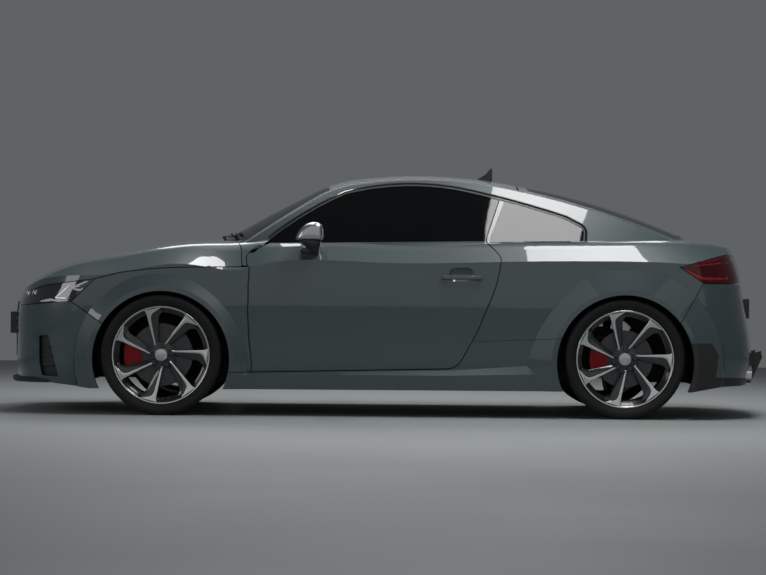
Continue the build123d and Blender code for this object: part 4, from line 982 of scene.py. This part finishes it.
bpy.ops.mesh.primitive_circle_add(vertices=6, radius=CELL, fill_type="NGON", rotation=(0, math.pi / 2, 0))
cell = bpy.context.object
bpy.ops.object.transform_apply()
edit(cell)
select_all()
bpy.ops.mesh.inset(thickness=CELL_WALL)
bpy.ops.mesh.delete(type="FACE")
select_all()
move_extrusion(CELL_DEPTH, 0, 0)
leave_closed()


def inside_mouth(y, z):
    """True where a point lies in the mouth, with a margin to its edge."""
    for (y0, z0), (y1, z1) in zip(MOUTH, MOUTH[1:] + MOUTH[:1]):
        length = math.hypot(y1 - y0, z1 - z0)
        if ((y1 - y0) * (z - z0) - (z1 - z0) * (y - y0)) / length < MOUTH_MARGIN:
            return False
    return True


places = [(i * PITCH_Y, MOUTH_FLOOR + (j + 0.5 * (i % 2)) * PITCH_Z) for i in range(-16, 17) for j in range(12)]
cells = [copy_of(cell, f"cell_{i}", Matrix.Translation((0, y, z)) @ Matrix.Rotation(math.pi / 2, 4, "X"))
         for i, (y, z) in enumerate(place for place in places if inside_mouth(*place))]
bpy.data.objects.remove(cell)
comb = join(cells, "grille_honeycomb")
grille_face = from_front("grille")
for v in comb.data.vertices:
    height = MOUTH_MIDDLE + (v.co.z - MOUTH_MIDDLE / 1000) * DRAWN_IN_Z
    v.co.x += grille_face(v.co.y * DRAWN_IN_Y, height)[0].x - BEHIND_FACE
edit(comb)
select_all()
bpy.ops.mesh.remove_doubles(threshold=0.0002)
leave()
finish(comb, "body", "black_trim", "gloss_black")
print("honeycomb:", len(cells), "cells,", len(comb.data.polygons), "faces")

# %% [markdown]
# Three thin blades cross each corner intake. They are ribbons on the black insert, a little thicker than the trim
# strips.

# %% Blades of the corner intakes
# Heights and paths are in millimetres.
BLADE_HEIGHTS = (262, 312, 362)
for i, z in enumerate(BLADE_HEIGHTS):
    path = [(-1866 + 2 * i, z), (-1846, z), (-1826, z), (-1803 - i * 8, z)]
    trim(ribbon(f"intake_blade_{i + 1}", from_left("corner_intakes"), path, 13, 0.003, 0.003, 0.006))
print("intake blades:", len(BLADE_HEIGHTS), "each side")

# %% [markdown]
# Two wipers lie along the foot of the windscreen. Each has a round pivot cap on the cowl, an arm that rises over
# the blade, and the blade itself, which is a ribbon laid on the glass with a thin rubber edge under it.

# %% Wipers
# Columns, in millimetres: y of the pivot, near end and far end of the blade, height over the foot of the screen.
WIPERS = [(-520, -500, 90, 62), (30, 60, 590, 52)]
SCREEN_FOOT, SCREEN_SWEEP, SCREEN_HALF_WIDTH = -940, 175, 700
PIVOT_BEHIND_FOOT, BLADE_CURVE = 22, 8
BLADE_PARTS = 8
BLADE_WIDTHS = [5, 9, 11, 12, 13, 12, 11, 9, 5]
ARM_HEIGHTS, ARM_WIDTHS = (0.016, 0.024, 0.021, 0.018), [20, 15, 10, 8]
PIVOT = [(0.0, -0.030), (0.009, -0.0292), (0.0125, -0.026), (0.013, -0.004), (0.016, 0.002), (0.0, 0.002)]
on_screen = from_above("windscreen")


def screen_foot(y):
    """Front edge of the windscreen, in millimetres, at a distance from the centre line."""
    return SCREEN_FOOT + SCREEN_SWEEP * (y / SCREEN_HALF_WIDTH) ** 2


def wiper(number, y_pivot, y_near, y_far, rise):
    """Blade, rubber, arm and pivot of one wiper."""
    def filed(piece, finish_name="moulded_black"):
        finish(piece, "body", "black_trim", finish_name)

    half = BLADE_PARTS // 2
    steps = [y_near + (y_far - y_near) * i / BLADE_PARTS for i in range(BLADE_PARTS + 1)]
    rows = [(screen_foot(y) + rise - BLADE_CURVE * abs(i - half) / half, y) for i, y in enumerate(steps)]
    filed(ribbon(f"wiper_blade_{number}", on_screen, rows, BLADE_WIDTHS, 0.012, 0.004, 0.008))
    filed(ribbon(f"wiper_rubber_{number}", on_screen, rows, 4, 0.0045, 0.0, 0.0042), "tyre_side")
    y_middle = (y_near + y_far) / 2
    foot_at, foot_normal = on_screen(screen_foot(y_pivot) + PIVOT_BEHIND_FOOT, y_pivot)
    ends = [(foot_at, foot_normal)] + [on_screen(screen_foot(y) + r, y) for y, r in
                                       ((y_pivot + 60, 26), (y_middle - 60, rise - 6), (y_middle, rise))]
    line = [(at + normal * height, normal) for (at, normal), height in zip(ends, ARM_HEIGHTS)]
    filed(ribbon(f"wiper_arm_{number}", *along(line), ARM_WIDTHS, 0, 0.002, 0.006))
    pivot = lathe(f"wiper_pivot_{number}", PIVOT, 32)
    bake_place(pivot, Matrix.Translation(foot_at) @ facing((0, -1, 0), foot_normal))
    smooth(pivot, 35)
    filed(pivot)


for number, row in enumerate(WIPERS, 1):
    wiper(number, *row)
print("wipers:", len(WIPERS))

# %% [markdown]
# A seat pad is foam under tight leather. It is modelled as firm foam first: rings from one side to the other, low
# in the middle and high at the bolsters. Then the leather is given: the mesh is remade in even small faces, air
# pressure pushes it outwards for a few frames as cloth, and the shape it reaches is kept. No point may move
# further than a cap, so the pad stays close to its foam, and with it close to the seat of the CAD model.

# %% Padding
AIR_PRESSURE, LEATHER_STIFFNESS, LEATHER_MASS, AIR_FRAMES = 4.0, 20, 0.4, 20


def pad_out(piece, voxel, cap):
    """Remakes a foam shape in even faces and lets air pressure round it off."""
    make_active(piece)
    piece.data.remesh_voxel_size = voxel
    bpy.ops.object.voxel_remesh()
    start = [v.co.copy() for v in piece.data.vertices]
    cloth = piece.modifiers.new("air", "CLOTH")
    cloth.settings.use_pressure = True
    cloth.settings.uniform_pressure_force = AIR_PRESSURE
    cloth.settings.effector_weights.gravity = 0
    cloth.settings.tension_stiffness = cloth.settings.compression_stiffness = LEATHER_STIFFNESS
    cloth.settings.mass = LEATHER_MASS
    cloth.point_cache.frame_end = AIR_FRAMES
    for number in range(1, AIR_FRAMES + 1):
        bpy.context.scene.frame_set(number)
    swollen = piece.evaluated_get(bpy.context.evaluated_depsgraph_get()).to_mesh()
    places = [v.co.copy() for v in swollen.vertices]
    piece.modifiers.remove(cloth)
    bpy.context.scene.frame_set(1)
    furthest = 0.0
    for v, was, now in zip(piece.data.vertices, start, places):
        step = now - was
        furthest = max(furthest, step.length)
        v.co = was + (step if step.length < cap else step.normalized() * cap)
    smooth(piece, 60)
    print(piece.name, "moved up to", round(furthest * 1000, 1), "mm, kept to", cap * 1000)


# %% [markdown]
# Where a person sits, the leather is sewn in channels. Each channel is a rounded hump in the height of a bump
# node, repeated along one axis, with the grain of the leather on top.

# %% Leather with channels
CHANNEL_PITCH, CHANNEL_SHARPNESS, CHANNEL_GRAIN = 0.052, 6, (700.0, 0.08)


def stitched(name, axis):
    """Leather with sewn channels across one axis."""
    leather = make_finish(name, (0.024, 0.0235, 0.024), (0.42, 0.55), None, (20.0, 0.12))
    tree = leather.node_tree
    place = position(tree)
    phase = math_node(tree, "FRACT", math_node(tree, "DIVIDE", axis_value(tree, place, axis), CHANNEL_PITCH))
    from_middle = math_node(tree, "ABSOLUTE", math_node(tree, "SUBTRACT", phase, 0.5))
    edge = math_node(tree, "POWER", math_node(tree, "MULTIPLY", from_middle, 2), CHANNEL_SHARPNESS)
    pores = math_node(tree, "MULTIPLY", noise_value(tree, place, CHANNEL_GRAIN[0]), CHANNEL_GRAIN[1])
    bump = tree.nodes.new("ShaderNodeBump")
    bump.inputs["Distance"].default_value = 0.004
    bump.inputs["Strength"].default_value = 0.9
    put(tree, bump.inputs["Height"], math_node(tree, "ADD", math_node(tree, "SUBTRACT", 1.0, edge), pores))
    put(tree, tree.nodes["Principled BSDF"].inputs["Normal"], bump.outputs["Normal"])
    return leather


for name, axis in (("cushion_channels", "X"), ("back_channels", "Z")):
    FINISHES[name] = stitched(name, axis)
print("sewn leathers: across the cushions, up the backs")

# %% [markdown]
# The front seat has three pads. The cushion is straight, and its rings run across the seat. The back and the
# headrest lean, so their rings are given along and across the lean, and turned into place. Channels are sewn where
# a face lies near the middle of the seat and turns towards whoever sits there.

# %% Front seats
PAD_SHAPE = [(0, 0.12), (0, 0.5), (0.0, 0.85), (0.05, 0.97), (0.2, 1.0), (0.5, 1.0), (0.8, 1.0), (0.95, 0.97),
             (1, 0.85), (1, 0.5), (1, 0.12), (0.95, 0.0), (0.5, 0.0), (0.05, 0.0)]
SEAT_MIDDLE = -370
UP = Vector((0, 0, 1))
LEAN, OUT, BACK_FOOT = Vector((0.317, 0, 0.948)), Vector((-0.948, 0, 0.317)), Vector((0.311, 0, 0.385))
# Columns, in millimetres: distance from the seat's middle, front x, rear x, low z, high z.
CUSHION_RINGS = [(-242, -130, 318, 212, 375), (-236, -148, 322, 200, 396), (-215, -160, 322, 196, 408),
                 (-180, -162, 322, 194, 409), (-152, -161, 322, 194, 396), (-128, -160, 322, 194, 381),
                 (0, -160, 322, 194, 384)]
# Columns, in millimetres: distance from the middle, low and high end along the lean, rear and front face.
BACK_RINGS = [(-230, 40, 500, -30, 30), (-224, 26, 560, -40, 44), (-205, 20, 598, -44, 52),
              (-172, 20, 612, -46, 50), (-146, 20, 616, -46, 38), (-124, 20, 618, -46, 22), (0, 20, 620, -46, 24)]
HEAD_RINGS = [(-122, 640, 740, -26, 26), (-116, 632, 755, -34, 36), (-95, 628, 762, -37, 40),
              (0, 628, 764, -37, 42)]


def across(rings):
    """Completes rings from one side to the middle with their mirror image."""
    return rings + [(-row[0], *row[1:]) for row in reversed(rings[:-1])]


def cushion_point(ring, a, b):
    """Point in metres of the front seat's cushion."""
    return pod_point((SEAT_MIDDLE + ring[0], *ring[1:]), a, b)


def leaning(foot, lean, out, from_y=0):
    """Place of a point on a leaning pad: a runs up the lean, b from the rear face to the front face."""
    def place(ring, a, b):
        y, low, high, rear, front = ring
        at = foot + lean * (low + (high - low) * a) / 1000 + out * (rear + (front - rear) * b) / 1000
        return at.x, (from_y + y) / 1000, at.z
    return place


def facing_sitter(middle_y, half_width, direction, least):
    """Rule that is 1 on the faces near a middle line that turn towards a direction."""
    return lambda at, normal: int(abs(at.y - middle_y) < half_width and normal.dot(direction) > least)


def leather_pad(name, rings, place, voxel, cap, *channels, rule=None):
    """Pad of foam in leather, with channels where the rule says."""
    piece = pod(name, PAD_SHAPE, rings, place, 1)
    pad_out(piece, voxel, cap)
    paint(piece, "seat_leather", *channels, rule=rule)
    return piece


back_point = leaning(BACK_FOOT, LEAN, OUT, SEAT_MIDDLE)
front_pads = []
for piece in (
        leather_pad("seat_cushion", across(CUSHION_RINGS), cushion_point, 0.009, 0.007, "cushion_channels",
                    rule=facing_sitter(-0.37, 0.138, UP, 0.8)),
        leather_pad("seat_back", across(BACK_RINGS), back_point, 0.009, 0.007, "back_channels",
                    rule=facing_sitter(-0.37, 0.134, OUT, 0.75)),
        leather_pad("headrest", across(HEAD_RINGS), back_point, 0.008, 0.005)):
    front_pads += both(piece, "body", "seat_leather")
for pad in front_pads:
    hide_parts("front_seats")
print("front seat pads:", len(front_pads), "faces each", [len(p.data.polygons) for p in front_pads[::2]])

# %% [markdown]
# The rear bench is a pair of shallow buckets. Its cushion and back are made for the left place and copied to the
# right.

# %% Rear bench
BENCH_LEAN, BENCH_OUT = Vector((0.388, 0, 0.922)), Vector((-0.922, 0, 0.388))
BENCH_FOOT = Vector((1.005, 0, 0.505))
# Columns as for the front seat, but with y itself in the place of the distance from the middle.
BENCH_RINGS = [(-462, 650, 960, 432, 476), (-452, 645, 966, 430, 492), (-420, 645, 970, 430, 497),
               (-380, 645, 970, 430, 490), (-240, 645, 970, 430, 470), (-100, 645, 970, 430, 490),
               (-50, 645, 970, 430, 496), (-14, 648, 966, 430, 488), (-6, 652, 960, 432, 476)]
BENCH_BACK_RINGS = [(-462, 10, 300, -20, 12), (-452, 4, 330, -26, 22), (-420, 2, 352, -30, 27),
                    (-380, 2, 360, -30, 20), (-240, 2, 366, -30, 4), (-100, 2, 366, -30, 20),
                    (-50, 2, 362, -30, 27), (-14, 4, 352, -26, 22), (-6, 10, 340, -20, 12)]

rear_pads = []
for piece in (
        leather_pad("bench_cushion", BENCH_RINGS, pod_point, 0.011, 0.004, "cushion_channels",
                    rule=facing_sitter(-0.24, 0.13, UP, 0.8)),
        leather_pad("bench_back", BENCH_BACK_RINGS, leaning(BENCH_FOOT, BENCH_LEAN, BENCH_OUT), 0.011, 0.004,
                    "back_channels", rule=facing_sitter(-0.24, 0.13, BENCH_OUT, 0.75))):
    rear_pads += both(piece, "body", "seat_leather")
for pad in rear_pads:
    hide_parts("rear_seat")
print("rear pads:", len(rear_pads))

# %% [markdown]
# The studio is plain: a round pale floor, a soft grey surround and large soft lamps overhead. Dark gloss paint
# shows the room more than its own colour, so the lamps are long soft boxes with clear edges. Each one draws a pale
# patch on the shoulder of the body, and the gap between them keeps the door dark.

# %% Floor
FLOOR_RADIUS, FLOOR_EDGE = 10.2, 1.2
FINISHES["studio_floor"] = make_finish("studio_floor", (0.30, 0.325, 0.325), (0.55, 0.7), (60.0, 0.05), (0.4, 0.02))
bpy.ops.mesh.primitive_circle_add(vertices=160, radius=FLOOR_RADIUS, fill_type="NGON")
floor = bpy.context.object
floor.name = "studio_floor"
edit(floor)
select_all()
bpy.ops.mesh.inset(thickness=FLOOR_EDGE)
leave()
paint(floor, "studio_floor")
print("floor: radius", FLOOR_RADIUS)

# %% Lamps and surround
# Columns: name, place, target, length and width of the box, power.
SOFT_BOXES = [
    ("box_hood", (-0.93, -0.04, 4.46), (-0.93, -0.6, 0.9), (0.42, 2.7), 45),
    ("box_tail", (1.45, -1.6, 4.4), (1.45, -0.4, 0.9), (1.04, 3.2), 115),
    ("box_right", (0.0, 3.4, 4.2), (0.0, 0.4, 0.7), (4.5, 2.2), 110),
    ("box_front", (-6.0, -4.5, 2.6), (-1.2, -0.2, 0.6), (2.4, 2.0), 45),
    ("box_low", (0.3, -10.0, 3.2), (0.0, 0.0, 0.7), (14.0, 6.0), 90),
]
# The surround is grey near the horizon, like a wall, and a little darker overhead, so that the glass stays dark.
WALL, OVERHEAD = (0.115, 0.124, 0.127, 1), (0.085, 0.090, 0.092, 1)
WALL_TOP, OVERHEAD_FROM = 0.25, 0.6


def soft_box(name, place, target, size, power):
    """Rectangular lamp at a place, facing a target."""
    bpy.ops.object.light_add(type="AREA", location=place)
    lamp = bpy.context.object
    lamp.name = name
    lamp.data.shape = "RECTANGLE"
    lamp.data.size, lamp.data.size_y = size
    lamp.data.energy = power
    lamp.rotation_euler = (Vector(target) - Vector(place)).to_track_quat("-Z", "Y").to_euler()


for row in SOFT_BOXES:
    soft_box(*row)
world = bpy.data.worlds.new("surround")
bpy.context.scene.world = world
world.use_nodes = True
sky = world.node_tree
height = sky.nodes.new("ShaderNodeMapRange")
height.inputs["From Min"].default_value = WALL_TOP
height.inputs["From Max"].default_value = OVERHEAD_FROM
direction = sky.nodes.new("ShaderNodeTexCoord").outputs["Generated"]
put(sky, height.inputs["Value"], axis_value(sky, direction, "Z"))
put(sky, sky.nodes["Background"].inputs["Color"], color_mix(sky, height.outputs["Result"], WALL, OVERHEAD))
bpy.context.scene.view_settings.view_transform = "Standard"
print("soft boxes:", len(SOFT_BOXES))

# %% [markdown]
# The camera stands far back at hip height and looks square at the left side, with a long lens, so that the front
# and rear wheels are seen nearly face on.

# %% Camera
CAMERA_PLACE, CAMERA_ROLL, CAMERA_LENS = (-0.021, -15.9, 0.70), -0.555, 130.8
bpy.ops.object.camera_add(location=CAMERA_PLACE)
camera = bpy.context.object
camera.data.sensor_width = 36
camera.data.lens = CAMERA_LENS
roll = Matrix.Rotation(math.radians(CAMERA_ROLL), 3, "Y")
camera.rotation_euler = (roll @ Matrix.Rotation(math.radians(90), 3, "X")).to_euler()
bpy.context.scene.camera = camera
print("camera: lens", CAMERA_LENS, "mm")
